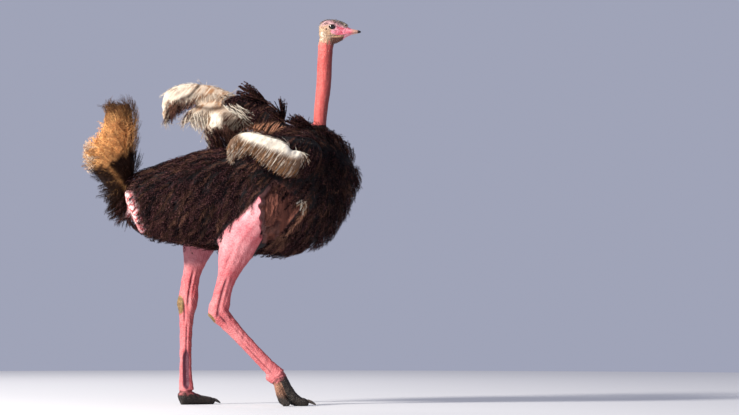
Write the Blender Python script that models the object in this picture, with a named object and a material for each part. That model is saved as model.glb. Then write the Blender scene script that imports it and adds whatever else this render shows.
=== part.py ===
"""Adult male Masai ostrich, walking with both wings raised: a still, life-size model.

The bird faces +X, its left side is +Y and the floor is Z = 0. Sizes are in metres.
Each sub-part is one closed solid in its own object. Soft plumage is a solid out to the
tips of its feathers. Neighbours meet with a gap of GAP, cut with planes and Booleans.
"""

import math

import bmesh
import bpy
import numpy as np
from mathutils import Vector

# Driving dimensions of the bird.
STANDING_HEIGHT = 2.20
TARSUS_LENGTH = 0.500
SHANK_LENGTH = 0.544
NECK_RADIUS = 0.0425
EYE_RADIUS = 0.0215
GAP = 0.0004

# Where the toes meet the tarsus, and how far each long bone leans forward of upright.
LEGS = {
    "right": {"side": -1, "knuckle": (0.326, 0.164, 0.160), "tarsus_lean": -42.8, "shank_lean": 22.5},
    "left": {"side": 1, "knuckle": (-0.209, 0.126, 0.070), "tarsus_lean": 0.8, "shank_lean": 18.0},
}
KNEE_OUT = 0.173
FOOT_YAW = {"right": 4.0, "left": 24.0}

# Colour, roughness and metallic value of each finish.
FINISHES = {
    "black_plumage": ((0.018, 0.014, 0.013), 0.75, 0.0),
    "white_plumage": ((0.83, 0.76, 0.62), 0.8, 0.0),
    "brown_plumage": ((0.36, 0.19, 0.08), 0.85, 0.0),
    "pink_skin": ((0.80, 0.30, 0.28), 0.6, 0.0),
    "bill_horn": ((0.78, 0.27, 0.24), 0.4, 0.0),
    "claw_horn": ((0.06, 0.045, 0.04), 0.45, 0.0),
    "toe_scale": ((0.16, 0.10, 0.075), 0.65, 0.0),
    "eye": ((0.03, 0.018, 0.012), 0.08, 0.0),
}


def clear_scene():
    for obj in list(bpy.data.objects):
        bpy.data.objects.remove(obj)


def finish(name):
    """The material of this finish, made once."""
    found = bpy.data.materials.get(name)
    if found:
        return found
    colour, roughness, metallic = FINISHES[name]
    made = bpy.data.materials.new(name)
    made.use_nodes = True
    shader = made.node_tree.nodes["Principled BSDF"]
    shader.inputs["Base Color"].default_value = (*colour, 1.0)
    shader.inputs["Roughness"].default_value = roughness
    shader.inputs["Metallic"].default_value = metallic
    return made


def collection(name, shown=True):
    found = bpy.data.collections.get(name)
    if not found:
        found = bpy.data.collections.new(name)
        found.hide_render = not shown
        bpy.context.scene.collection.children.link(found)
    return found


def face_outward(mesh_bm):
    """Turns the faces of a closed mesh outward, also where a hollow form misleads Blender."""
    bmesh.ops.recalc_face_normals(mesh_bm, faces=mesh_bm.faces)
    if mesh_bm.calc_volume(signed=True) < 0:
        bmesh.ops.reverse_faces(mesh_bm, faces=mesh_bm.faces)


def object_from(name, mesh_bm, finish_name):
    """A smooth-shaded object of this mesh, in the bird's collection."""
    face_outward(mesh_bm)
    mesh = bpy.data.meshes.new(name)
    mesh_bm.to_mesh(mesh)
    mesh_bm.free()
    mesh.materials.append(finish(finish_name))
    mesh.shade_smooth()
    mesh.set_sharp_from_angle(angle=math.radians(50))
    obj = bpy.data.objects.new(name, mesh)
    collection("ostrich").objects.link(obj)
    return obj


def smooth_rows(rows, steps):
    """Catmull-Rom rows through the given rows, with this many steps from each to the next."""
    rows = np.array(rows, float)
    before = np.vstack([2 * rows[0] - rows[1], rows, 2 * rows[-1] - rows[-2]])
    made = []
    for i in range(len(rows) - 1):
        a, b, c, d = before[i : i + 4]
        slope, bow, twist = c - a, 2 * a - 5 * b + 4 * c - d, 3 * b - a - 3 * c + d
        for u in np.arange(steps) / steps:
            made.append(b + 0.5 * (slope * u + bow * u**2 + twist * u**3))
    return np.array(made + [rows[-1]])


def ring_axes(centres, sideways, upright):
    """Side and dorsal direction of the section at each centre. A section is square to the
    path, or upright and square to X, and its side is as near sideways as can be."""
    tangents = np.gradient(centres, axis=0)
    if upright:
        tangents[:] = (1, 0, 0)
    tangents /= np.linalg.norm(tangents, axis=1)[:, None]
    across = sideways - (tangents @ sideways)[:, None] * tangents
    across /= np.linalg.norm(across, axis=1)[:, None]
    return across, np.cross(tangents, across)


def loft(name, rows, finish_name, sides=12, steps=2, power=2.0, sideways=(0, 1, 0), upright=False,
         ripple=(0, 0, 0)):
    """A closed form through rounded sections.

    A row is x, y, z of the section's centre, then its reach to each side, to the dorsal
    side and to the ventral side. power squares the sections a little. ripple is the depth,
    the number round a section and the number of rows to a turn of the lobes into which
    loose plumage parts, and fades towards both ends.
    """
    rows = smooth_rows(rows, steps)
    across, dorsal = ring_axes(rows[:, :3], np.array(sideways, float), upright)
    depth, around, turn = ripple
    mesh_bm = bmesh.new()
    rings = []
    for i, row in enumerate(rows):
        ring = []
        fade = math.sin(math.pi * i / (len(rows) - 1))
        for j in range(sides):
            angle = 2 * math.pi * j / sides
            c, s = math.cos(angle), math.sin(angle)
            lobe = fade * depth * math.sin(around * angle + (2 * math.pi * i / turn if turn else 0))
            reach = row[4] if s >= 0 else row[5]
            wide = math.copysign(abs(c) ** (2 / power), c) * (row[3] + lobe)
            tall = math.copysign(abs(s) ** (2 / power), s) * (reach + lobe)
            ring.append(mesh_bm.verts.new(row[:3] + across[i] * wide + dorsal[i] * tall))
        rings.append(ring)
    for low, high in zip(rings, rings[1:]):
        for j in range(sides):
            k = (j + 1) % sides
            mesh_bm.faces.new((low[j], low[k], high[k], high[j]))
    mesh_bm.faces.new(rings[0])
    mesh_bm.faces.new(rings[-1])
    bmesh.ops.triangulate(mesh_bm, faces=mesh_bm.faces)
    return object_from(name, mesh_bm, finish_name)


def band(x, top, bottom, half_width, waist=0.5):
    """A loft row for a section upright in YZ, widest at the waist's share of its height."""
    middle = bottom + waist * (top - bottom)
    return (x, 0, middle, half_width, top - middle, middle - bottom)


def combine(obj, others, operation, gap=0.0):
    """Applies an exact Boolean of the other objects, each grown by the gap, and keeps them."""
    helpers = collection("cutters", shown=False)
    for other in others:
        cutter = bpy.data.objects.new(other.name + "_cutter", other.data.copy())
        helpers.objects.link(cutter)
        cutter.hide_render = True
        cutter.display_type = "WIRE"
        if gap:
            for vertex in cutter.data.vertices:
                vertex.co += gap * vertex.normal
        modifier = obj.modifiers.new(operation, "BOOLEAN")
        modifier.operation = operation
        modifier.object = cutter
        bpy.context.view_layer.update()
        evaluated = obj.evaluated_get(bpy.context.evaluated_depsgraph_get())
        mesh = bpy.data.meshes.new_from_object(evaluated)
        obj.modifiers.clear()
        obj.data = mesh
        bpy.data.objects.remove(cutter)
    return obj


def largest_piece(obj):
    """Drops the loose slivers that a cut leaves, and keeps the piece with most faces."""
    mesh_bm = bmesh.new()
    mesh_bm.from_mesh(obj.data)
    unseen, pieces = set(mesh_bm.faces), []
    while unseen:
        front, piece = [unseen.pop()], []
        while front:
            face = front.pop()
            piece.append(face)
            for edge in face.edges:
                for near in edge.link_faces:
                    if near in unseen:
                        unseen.remove(near)
                        front.append(near)
        pieces.append(piece)
    pieces.sort(key=len)
    loose = [face for piece in pieces[:-1] for face in piece]
    bmesh.ops.delete(mesh_bm, geom=loose, context="FACES")
    mesh_bm.to_mesh(obj.data)
    mesh_bm.free()
    return obj


def carve(obj, *others):
    """Cuts the other objects out of obj, with a gap to each."""
    return largest_piece(combine(obj, others, "DIFFERENCE", GAP))


def join(obj, *others):
    """Joins overlapping forms into obj, and removes them."""
    combine(obj, others, "UNION")
    for other in others:
        bpy.data.objects.remove(other)
    return obj


def keep_side(obj, point, normal, gap=GAP / 2):
    """Cuts obj at a plane and keeps what lies on the side that the normal leaves."""
    normal = Vector(normal).normalized()
    mesh_bm = bmesh.new()
    mesh_bm.from_mesh(obj.data)
    everything = mesh_bm.verts[:] + mesh_bm.edges[:] + mesh_bm.faces[:]
    at = Vector(point) - gap * normal
    bmesh.ops.bisect_plane(mesh_bm, geom=everything, plane_co=at, plane_no=normal, clear_outer=True)
    rim = [edge for edge in mesh_bm.edges if edge.is_boundary]
    bmesh.ops.holes_fill(mesh_bm, edges=rim, sides=0)
    bmesh.ops.triangulate(mesh_bm, faces=mesh_bm.faces)
    face_outward(mesh_bm)
    mesh_bm.to_mesh(obj.data)
    mesh_bm.free()
    return obj


def copy_of(obj, name):
    made = bpy.data.objects.new(name, obj.data.copy())
    collection("ostrich").objects.link(made)
    return made


def part_at(obj, far_name, point, normal):
    """Parts obj with a thin cut. obj keeps the near side, and a new object takes the far side."""
    far = copy_of(obj, far_name)
    keep_side(obj, point, normal)
    keep_side(far, point, -Vector(normal))
    return far


def paint(obj, finish_name):
    obj.data.materials.clear()
    obj.data.materials.append(finish(finish_name))


# ---------------------------------------------------------------- trunk and breast


def make_trunk():
    """The plumage from rump to breast in one form, parted into trunk and breast."""
    trunk = loft(
        "trunk",
        [
            band(-0.620, 1.250, 1.150, 0.060, 0.50),
            band(-0.570, 1.315, 1.065, 0.140, 0.50),
            band(-0.460, 1.358, 0.966, 0.215, 0.50),
            band(-0.300, 1.415, 0.914, 0.265, 0.51),
            band(-0.110, 1.472, 0.880, 0.288, 0.52),
            band(0.080, 1.498, 0.850, 0.290, 0.55),
            band(0.260, 1.545, 0.842, 0.284, 0.57),
            band(0.400, 1.600, 0.838, 0.280, 0.57),
            band(0.520, 1.608, 0.884, 0.272, 0.56),
            band(0.620, 1.560, 0.945, 0.238, 0.55),
            band(0.705, 1.490, 1.075, 0.175, 0.55),
            band(0.760, 1.420, 1.200, 0.105, 0.55),
            band(0.785, 1.365, 1.270, 0.045, 0.55),
        ],
        "black_plumage",
        sides=22,
        power=2.1,
        upright=True,
        ripple=(0.006, 9, 5),
    )
    breast = part_at(trunk, "breast", (0.430, 0, 1.20), (1, 0, 0.12))
    return trunk, breast


# ---------------------------------------------------------------- head, neck and eyes


def make_head_and_neck():
    """Head, bill and neck: one form, parted at the bill's root, the mouth and along the neck."""
    crown = STANDING_HEIGHT - 0.006
    head = loft(
        "head",
        [
            band(0.5520, 2.150, 2.108, 0.014, 0.55),
            band(0.5560, 2.166, 2.088, 0.028, 0.60),
            band(0.5680, 2.181, 2.066, 0.041, 0.62),
            band(0.5880, 2.191, 2.052, 0.0480, 0.64),
            band(0.6100, crown, 2.052, 0.0500, 0.66),
            band(0.6300, 2.192, 2.057, 0.0490, 0.66),
            band(0.6520, 2.187, 2.064, 0.0430, 0.62),
            band(0.6750, 2.178, 2.075, 0.0370, 0.56),
            band(0.6970, 2.167, 2.091, 0.0335, 0.52),
            band(0.7150, 2.1545, 2.102, 0.0315, 0.50),
            band(0.7350, 2.1450, 2.110, 0.0295, 0.48),
            band(0.7550, 2.1400, 2.115, 0.0260, 0.46),
            band(0.7720, 2.1370, 2.118, 0.0200, 0.44),
            band(0.7840, 2.1335, 2.121, 0.0125, 0.42),
            band(0.7890, 2.1305, 2.124, 0.0065, 0.42),
        ],
        "pink_skin",
        sides=16,
        steps=1,
        power=2.1,
        upright=True,
    )
    neck = loft(
        "neck_upper",
        [
            (0.538, 0, 1.430, 0.0440, 0.0440, 0.0440),
            (0.558, 0, 1.520, 0.0390, 0.0390, 0.0390),
            (0.555, 0, 1.610, 0.0370, 0.0370, 0.0370),
            (0.564, 0, 1.710, 0.0385, 0.0395, 0.0395),
            (0.577, 0, 1.820, 0.0400, NECK_RADIUS, NECK_RADIUS),
            (0.582, 0, 1.930, 0.0400, NECK_RADIUS, NECK_RADIUS),
            (0.587, 0, 2.030, 0.0395, NECK_RADIUS, NECK_RADIUS),
            (0.5965, 0, 2.085, 0.0400, NECK_RADIUS, 0.0440),
            (0.6050, 0, 2.110, 0.0360, 0.0380, 0.0400),
        ],
        "pink_skin",
        sides=14,
    )
    join(head, neck)
    neck_upper = part_at(head, "neck_upper", (0.590, 0, 2.046), (-0.16, 0, -1))
    neck_middle = part_at(neck_upper, "neck_middle", (0.580, 0, 1.850), (-0.04, 0, -1))
    neck_lower = part_at(neck_middle, "neck_lower", (0.557, 0, 1.690), (-0.14, 0, -1))
    bill = part_at(head, "bill_upper", (0.7020, 0, 2.130), (1, 0, -0.35))
    lower = part_at(bill, "bill_lower", (0.7136, 0, 2.1195), (0.05, 0, -1))
    for piece in (bill, lower):
        paint(piece, "bill_horn")
    return head, neck_lower


def make_eyes(head):
    """Two eyeballs, each in a socket cut in the head."""
    for name, side in (("eye_right", -1), ("eye_left", 1)):
        ball = bmesh.new()
        bmesh.ops.create_uvsphere(ball, u_segments=11, v_segments=7, radius=EYE_RADIUS)
        bmesh.ops.translate(ball, verts=ball.verts, vec=(0.6250, side * 0.0315, 2.1540))
        bmesh.ops.triangulate(ball, faces=ball.faces)
        eye = object_from(name, ball, "eye")
        carve(head, eye)


# ---------------------------------------------------------------- legs


# Rows along each long bone: share of its length from below, forward shift of the section's
# centre, half its depth from front to back, and half its width. The planted tarsus is turned
# outwards, and so looks slimmer than the lifted one.
TARSUS_FORM = {
    "right": [
        (0.02, 0.004, 0.047, 0.036),
        (0.12, 0.001, 0.041, 0.030),
        (0.30, -0.002, 0.038, 0.0255),
        (0.60, -0.003, 0.0385, 0.0255),
        (0.88, -0.002, 0.047, 0.034),
    ],
    "left": [
        (0.02, 0.000, 0.044, 0.036),
        (0.12, -0.004, 0.039, 0.030),
        (0.30, -0.008, 0.034, 0.0265),
        (0.60, -0.009, 0.034, 0.0265),
        (0.88, -0.006, 0.043, 0.034),
    ],
}
SHANK_FORM = [
    (0.00, -0.006, 0.059, 0.044),
    (0.10, -0.013, 0.055, 0.041),
    (0.22, -0.027, 0.050, 0.037),
    (0.37, -0.036, 0.054, 0.046),
    (0.53, -0.044, 0.079, 0.066),
    (0.68, -0.047, 0.103, 0.088),
    (0.84, -0.034, 0.109, 0.106),
    (1.00, -0.010, 0.118, 0.120),
]
# The thigh above the knee: centre ahead of the knee and above it, half depth and half width.
THIGH_FORM = [
    (0.048, 0.085, 0.148, 0.136),
    (0.066, 0.175, 0.150, 0.132),
    (0.050, 0.250, 0.105, 0.085),
]


def leaning(start, length, degrees):
    """The point at this length above start, leaning forward by so many degrees."""
    lean = math.radians(degrees)
    return np.array(start) + length * np.array([math.sin(lean), 0, math.cos(lean)])


def bone_rows(low, high, form):
    """Loft rows along a bone, from its upper end to its lower one."""
    low, high = np.array(low, float), np.array(high, float)
    along = (high - low) / np.linalg.norm(high - low)
    forward = np.cross((0, 1, 0), along)
    rows = []
    for share, shift, depth, width in reversed(form):
        centre = low + share * (high - low) + shift * forward
        rows.append((*centre, width, depth, depth))
    return rows


def leg_joints(leg):
    """Knuckle, ankle and knee of a leg. The knee stands KNEE_OUT from the middle, and the ankle
    halfway between there and the knuckle."""
    x, y, z = leg["knuckle"]
    knuckle = np.array([x, leg["side"] * y, z])
    outward = np.array([0, leg["side"] * (KNEE_OUT - y) / 2, 0])
    ankle = leaning(knuckle, TARSUS_LENGTH, leg["tarsus_lean"]) + outward
    knee = leaning(ankle, SHANK_LENGTH, leg["shank_lean"]) + outward
    return knuckle, ankle, knee


def make_leg(name):
    """Thigh, shank and tarsus: one form from hip to knuckle, parted at the knee and the ankle."""
    knuckle, ankle, knee = leg_joints(LEGS[name])
    thigh_rows = []
    for forward, up, depth, width in reversed(THIGH_FORM):
        thigh_rows.append((*(knee + (forward, 0, up)), width, depth, depth))
    lower_rows = bone_rows(ankle, knee, SHANK_FORM) + bone_rows(knuckle, ankle, TARSUS_FORM[name])
    rows = thigh_rows + lower_rows
    thigh = loft(f"thigh_{name}", rows, "pink_skin")
    shank_down = Vector(ankle - knee).normalized()
    tarsus_down = Vector(knuckle - ankle).normalized()
    shank = part_at(thigh, f"shank_{name}", knee, shank_down)
    tarsus = part_at(shank, f"tarsus_{name}", ankle, (shank_down + tarsus_down).normalized())
    return thigh, shank, tarsus


def toe_rows(root, yaw, path):
    """Loft rows of a toe. A path row is its reach from the root along the floor, its height,
    half its width, then its reach to the top and to the sole."""
    heading = np.array([math.cos(yaw), math.sin(yaw), 0])
    rows = []
    for reach, height, width, top, sole in path:
        centre = np.array([root[0], root[1], height]) + reach * heading
        rows.append((*centre, width, top, sole))
    return rows


# The inner toe lies flat under the planted foot, and rises to the knuckle under the lifted one.
INNER_TOE = {
    "left": [
        (-0.042, 0.034, 0.024, 0.030, 0.038),
        (-0.024, 0.040, 0.034, 0.046, 0.043),
        (0.012, 0.038, 0.037, 0.048, 0.040),
        (0.050, 0.032, 0.034, 0.034, 0.034),
        (0.090, 0.028, 0.031, 0.024, 0.030),
        (0.125, 0.025, 0.030, 0.022, 0.027),
        (0.155, 0.021, 0.024, 0.018, 0.023),
        (0.172, 0.018, 0.014, 0.012, 0.016),
    ],
    "right": [
        (-0.004, 0.172, 0.033, 0.040, 0.034),
        (0.010, 0.142, 0.036, 0.042, 0.037),
        (0.034, 0.103, 0.034, 0.038, 0.036),
        (0.062, 0.066, 0.033, 0.034, 0.040),
        (0.090, 0.041, 0.031, 0.029, 0.042),
        (0.120, 0.028, 0.030, 0.023, 0.034),
        (0.150, 0.022, 0.025, 0.019, 0.027),
        (0.168, 0.018, 0.014, 0.012, 0.018),
    ],
}
OUTER_TOE = {
    "left": [
        (0.000, 0.034, 0.022, 0.024, 0.035),
        (0.030, 0.032, 0.024, 0.024, 0.034),
        (0.060, 0.027, 0.023, 0.020, 0.029),
        (0.088, 0.023, 0.020, 0.017, 0.025),
        (0.108, 0.018, 0.013, 0.012, 0.016),
        (0.115, 0.016, 0.006, 0.006, 0.008),
    ],
    "right": [
        (-0.004, 0.128, 0.020, 0.022, 0.022),
        (0.004, 0.100, 0.024, 0.023, 0.024),
        (0.016, 0.066, 0.024, 0.022, 0.025),
        (0.036, 0.036, 0.023, 0.021, 0.030),
        (0.060, 0.022, 0.020, 0.017, 0.028),
        (0.078, 0.017, 0.012, 0.011, 0.019),
        (0.085, 0.016, 0.006, 0.006, 0.008),
    ],
}
OUTER_TOE_SPLAY = {"left": 30.0, "right": 34.0}
CLAW = [
    (0.148, 0.027, 0.010, 0.008, 0.008),
    (0.166, 0.028, 0.0125, 0.010, 0.010),
    (0.184, 0.022, 0.0100, 0.009, 0.009),
    (0.200, 0.013, 0.0060, 0.006, 0.006),
    (0.210, 0.007, 0.0025, 0.0025, 0.0025),
]


def make_foot(name, tarsus):
    """Two toes, each with a flat on the floor, and the inner toe's claw."""
    leg = LEGS[name]
    x, y, _ = leg["knuckle"]
    root = np.array([x, leg["side"] * y, 0])
    yaw = math.radians(leg["side"] * FOOT_YAW[name])
    splay = yaw + math.radians(leg["side"] * OUTER_TOE_SPLAY[name])
    outer_root = root + leg["side"] * np.array([0.004, 0.020, 0])
    inner_rows = toe_rows(root, yaw, INNER_TOE[name])
    outer_rows = toe_rows(outer_root, splay, OUTER_TOE[name])
    inner = loft(f"toe_inner_{name}", inner_rows, "toe_scale", sides=10, steps=1)
    outer = loft(f"toe_outer_{name}", outer_rows, "toe_scale", sides=8, steps=1)
    claw = loft(f"claw_{name}", toe_rows(root, yaw, CLAW), "claw_horn", sides=7, steps=1)
    for toe in (inner, outer):
        keep_side(toe, (0, 0, 0), (0, 0, -1), gap=0)
    carve(inner, tarsus)
    carve(outer, tarsus, inner)
    carve(claw, inner)


# ---------------------------------------------------------------- tail


def make_tail(trunk):
    """The upright brush of tail plumes, with the loose plumes behind and under its root."""
    tail = loft(
        "tail",
        [
            (-0.545, 0, 1.085, 0.070, 0.035, 0.042),
            (-0.575, 0, 1.160, 0.115, 0.080, 0.098),
            (-0.590, 0, 1.240, 0.140, 0.100, 0.112),
            (-0.610, 0, 1.325, 0.158, 0.140, 0.150),
            (-0.625, 0, 1.420, 0.172, 0.163, 0.158),
            (-0.604, 0, 1.510, 0.174, 0.140, 0.136),
            (-0.590, 0, 1.610, 0.164, 0.118, 0.116),
            (-0.590, 0, 1.690, 0.140, 0.110, 0.106),
            (-0.596, 0, 1.740, 0.086, 0.078, 0.080),
        ],
        "brown_plumage",
        sides=14,
        ripple=(0.007, 7, 4),
    )
    carve(trunk, tail)


# ---------------------------------------------------------------- wings


# A wing's rows run towards the tail, so its side axis is turned to keep the dorsal side up.
TAILWARD = (0, -1, 0)


def wing_arm(name, rows):
    return loft(name, rows, "black_plumage", sides=10, sideways=TAILWARD, ripple=(0.005, 5, 3))


def plume(name, rows, steps=2):
    return loft(name, rows, "white_plumage", sides=8, steps=steps, sideways=TAILWARD, ripple=(0.004, 3, 3))


def make_left_wing(trunk, breast):
    """The far wing, raised over the back: its arm with dark coverts, and three groups of plumes."""
    arm = wing_arm(
        "wing_arm_left",
        [
            (0.450, 0.195, 1.450, 0.040, 0.050, 0.060),
            (0.400, 0.235, 1.530, 0.055, 0.085, 0.095),
            (0.320, 0.270, 1.610, 0.055, 0.100, 0.110),
            (0.220, 0.305, 1.672, 0.052, 0.098, 0.110),
            (0.120, 0.330, 1.715, 0.048, 0.076, 0.090),
            (0.030, 0.345, 1.740, 0.036, 0.045, 0.060),
            (-0.010, 0.350, 1.745, 0.015, 0.020, 0.025),
        ],
    )
    upper = plume(
        "wing_plumes_left",
        [
            (0.100, 0.335, 1.735, 0.020, 0.030, 0.030),
            (0.020, 0.350, 1.765, 0.035, 0.044, 0.045),
            (-0.060, 0.365, 1.790, 0.045, 0.050, 0.060),
            (-0.140, 0.380, 1.795, 0.050, 0.062, 0.070),
            (-0.220, 0.390, 1.785, 0.052, 0.072, 0.075),
            (-0.290, 0.395, 1.745, 0.050, 0.086, 0.070),
            (-0.328, 0.397, 1.685, 0.042, 0.048, 0.048),
            (-0.345, 0.397, 1.625, 0.020, 0.018, 0.020),
        ],
    )
    middle = plume(
        "plume_middle",
        [
            (0.110, 0.320, 1.680, 0.020, 0.030, 0.030),
            (0.030, 0.335, 1.690, 0.035, 0.050, 0.055),
            (-0.050, 0.345, 1.695, 0.042, 0.055, 0.062),
            (-0.130, 0.355, 1.690, 0.040, 0.050, 0.058),
            (-0.200, 0.360, 1.665, 0.030, 0.035, 0.034),
            (-0.235, 0.362, 1.640, 0.012, 0.012, 0.012),
        ],
        steps=1,
    )
    lower = plume(
        "plume_lower",
        [
            (0.130, 0.300, 1.640, 0.025, 0.030, 0.030),
            (0.060, 0.310, 1.640, 0.038, 0.055, 0.055),
            (-0.020, 0.315, 1.625, 0.042, 0.070, 0.075),
            (-0.070, 0.315, 1.570, 0.040, 0.055, 0.060),
            (-0.080, 0.310, 1.515, 0.028, 0.030, 0.035),
            (-0.080, 0.305, 1.480, 0.010, 0.010, 0.010),
        ],
        steps=1,
    )
    join(upper, middle, lower)
    carve(trunk, arm)
    carve(breast, arm)
    carve(upper, arm, trunk)


def make_right_wing(trunk, breast):
    """The near wing, held out from the side: its arm with dark coverts, and a crest of plumes."""
    arm = wing_arm(
        "wing_arm_right",
        [
            (0.560, -0.210, 1.430, 0.040, 0.060, 0.060),
            (0.510, -0.270, 1.430, 0.055, 0.100, 0.110),
            (0.440, -0.310, 1.440, 0.055, 0.105, 0.125),
            (0.350, -0.330, 1.465, 0.048, 0.085, 0.110),
            (0.250, -0.338, 1.490, 0.042, 0.060, 0.080),
            (0.160, -0.335, 1.500, 0.032, 0.042, 0.050),
            (0.105, -0.330, 1.500, 0.012, 0.016, 0.018),
        ],
    )
    crest = plume(
        "wing_plumes_right",
        [
            (0.485, -0.357, 1.408, 0.010, 0.014, 0.014),
            (0.445, -0.370, 1.408, 0.027, 0.052, 0.050),
            (0.395, -0.382, 1.385, 0.034, 0.082, 0.102),
            (0.330, -0.394, 1.412, 0.037, 0.094, 0.102),
            (0.260, -0.400, 1.452, 0.038, 0.085, 0.086),
            (0.180, -0.400, 1.490, 0.037, 0.064, 0.067),
            (0.110, -0.394, 1.496, 0.034, 0.052, 0.047),
            (0.060, -0.388, 1.462, 0.029, 0.034, 0.034),
            (0.050, -0.382, 1.410, 0.018, 0.020, 0.022),
            (0.062, -0.378, 1.380, 0.006, 0.007, 0.007),
        ],
    )
    carve(arm, crest)
    carve(trunk, arm, crest)
    carve(breast, arm, crest)


def stand_on_origin():
    """Moves the bird so that the origin is under the middle of its box."""
    shown = list(collection("ostrich").objects)
    corners = np.array([tuple(v.co) for obj in shown for v in obj.data.vertices])
    low, high = corners.min(0), corners.max(0)
    shift = Vector((-(low[0] + high[0]) / 2, -(low[1] + high[1]) / 2, -low[2]))
    for obj in shown:
        for vertex in obj.data.vertices:
            vertex.co += shift


def main():
    clear_scene()
    trunk, breast = make_trunk()
    head, neck_lower = make_head_and_neck()
    make_eyes(head)
    for name in LEGS:
        thigh, shank, tarsus = make_leg(name)
        carve(trunk, thigh, shank)
        carve(breast, thigh, shank)
        make_foot(name, tarsus)
    carve(breast, neck_lower)
    make_tail(trunk)
    make_left_wing(trunk, breast)
    make_right_wing(trunk, breast)
    stand_on_origin()


main()
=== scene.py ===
# %% [markdown]
# # A male ostrich in full stride, life size
#
# The model is a museum-like figure: bare coral neck and legs, a barrel of loose black plumes,
# cream plumes on both wings and a tawny tail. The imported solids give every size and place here.
# They stay where they are, and each step below lays skin, horn or plumes over some of them.

# %% The frame that everything is measured from
import math

import bpy
import numpy as np
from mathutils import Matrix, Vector
from mathutils.bvhtree import BVHTree


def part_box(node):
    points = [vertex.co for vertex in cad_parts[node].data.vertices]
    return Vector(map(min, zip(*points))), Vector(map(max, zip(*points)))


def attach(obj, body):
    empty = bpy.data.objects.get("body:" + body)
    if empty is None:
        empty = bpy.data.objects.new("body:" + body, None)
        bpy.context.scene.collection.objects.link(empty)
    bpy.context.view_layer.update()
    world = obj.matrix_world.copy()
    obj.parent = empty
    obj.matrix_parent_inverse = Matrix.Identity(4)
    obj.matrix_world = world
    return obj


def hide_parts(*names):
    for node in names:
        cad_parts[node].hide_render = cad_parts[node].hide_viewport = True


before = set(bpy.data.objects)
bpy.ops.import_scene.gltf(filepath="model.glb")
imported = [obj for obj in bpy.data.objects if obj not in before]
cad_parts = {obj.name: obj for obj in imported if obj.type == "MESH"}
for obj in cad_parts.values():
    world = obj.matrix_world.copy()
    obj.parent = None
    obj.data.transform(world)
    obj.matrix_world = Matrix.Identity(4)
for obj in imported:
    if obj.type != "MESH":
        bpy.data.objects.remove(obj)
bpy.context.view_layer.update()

BOXES = {name: tuple(np.array(corner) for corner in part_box(name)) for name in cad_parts}

# %% [markdown]
# ## Reading the solids
#
# A place on the bird is written as shares of a solid's box, so that it follows the solids if they
# change. The triangles are read into arrays, because everything soft here is worked out in bulk.


# %% Places on the solids
def place(node, x, y, z):
    """A point given as shares of a solid's box."""
    low, high = BOXES[node]
    return low + (high - low) * (x, y, z)


def from_side(node, x, z):
    """The same as seen from the side: how far along the bird and how high."""
    return place(node, x, 0, z)[[0, 2]]


ALONG, UP = 0, 2


def share_of(node, points):
    """The other way round: points as shares of a solid's box."""
    low, high = BOXES[node]
    return (points - low) / (high - low)


def between(points, node, axis, start, end):
    """0 before one share of a solid's box along an axis, 1 after another, and a smooth rise between."""
    return ramp(points[:, axis], *(place(node, share, share, share)[axis] for share in (start, end)))


def only(keep, *rows):
    """The chosen rows of several arrays."""
    return [row[keep] for row in rows]


# %% Points, normals and triangles of a mesh
def points_of(mesh):
    """The vertices of a mesh as rows of three."""
    flat = np.zeros(len(mesh.vertices) * 3, np.float32)
    mesh.vertices.foreach_get("co", flat)
    return flat.reshape(-1, 3).astype(float)


def normals_of(mesh):
    """The smooth normal at each vertex."""
    flat = np.zeros(len(mesh.vertices) * 3, np.float32)
    mesh.vertex_normals.foreach_get("vector", flat)
    return flat.reshape(-1, 3).astype(float)


def put(mesh, points):
    """Gives the vertices new places."""
    mesh.vertices.foreach_set("co", np.asarray(points, np.float32).ravel())
    mesh.update()


def triangles_of(mesh):
    """The triangles of a mesh as rows of three vertex numbers."""
    mesh.calc_loop_triangles()
    flat = np.zeros(len(mesh.loop_triangles) * 3, np.int32)
    mesh.loop_triangles.foreach_get("vertices", flat)
    return flat.reshape(-1, 3)


def joined(parts):
    """Several (points, triangles) pairs as one."""
    starts = np.cumsum([0] + [len(points) for points, _ in parts[:-1]])
    points = np.concatenate([points for points, _ in parts])
    triangles = np.concatenate([faces + start for (_, faces), start in zip(parts, starts)])
    return points, triangles


def solid(*names):
    """Points and triangles of some solids together."""
    meshes = [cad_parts[name].data for name in names]
    return joined([(points_of(mesh), triangles_of(mesh)) for mesh in meshes])


def tree_of(*names):
    """Some solids as a tree that finds the nearest surface quickly."""
    points, triangles = solid(*names)
    return BVHTree.FromPolygons([tuple(point) for point in points], triangles.tolist())


def unit(vectors):
    """Rows scaled to length one."""
    return vectors / np.maximum(np.linalg.norm(vectors, axis=-1, keepdims=True), 1e-9)


def ramp(value, low, high):
    """0 below low, 1 above high, and a smooth rise between."""
    share = np.clip((value - low) / (high - low), 0, 1)
    return share * share * (3 - 2 * share)


def ripples(points, size, seed, count=14):
    """Smooth random ups and downs about size apart: a sum of waves in random directions."""
    rng = np.random.default_rng(seed)
    ways = unit(rng.normal(size=(count, 3))) * 2 * math.pi / size
    return np.sin(points @ ways.T + rng.uniform(0, 2 * math.pi, count)).sum(1) / math.sqrt(count / 2)


EYE = {side: sum(BOXES["eye_" + side]) / 2 for side in ("left", "right")}
EYE_RADIUS = (BOXES["eye_right"][1] - BOXES["eye_right"][0])[0] / 2
print("eye radius:", round(float(EYE_RADIUS), 4), "apart:", np.round(EYE["left"] - EYE["right"], 3))


# %% Meshes from arrays
def linked(name, data):
    """An object in the scene that shows some data."""
    obj = bpy.data.objects.new(name, data)
    bpy.context.scene.collection.objects.link(obj)
    return obj


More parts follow.
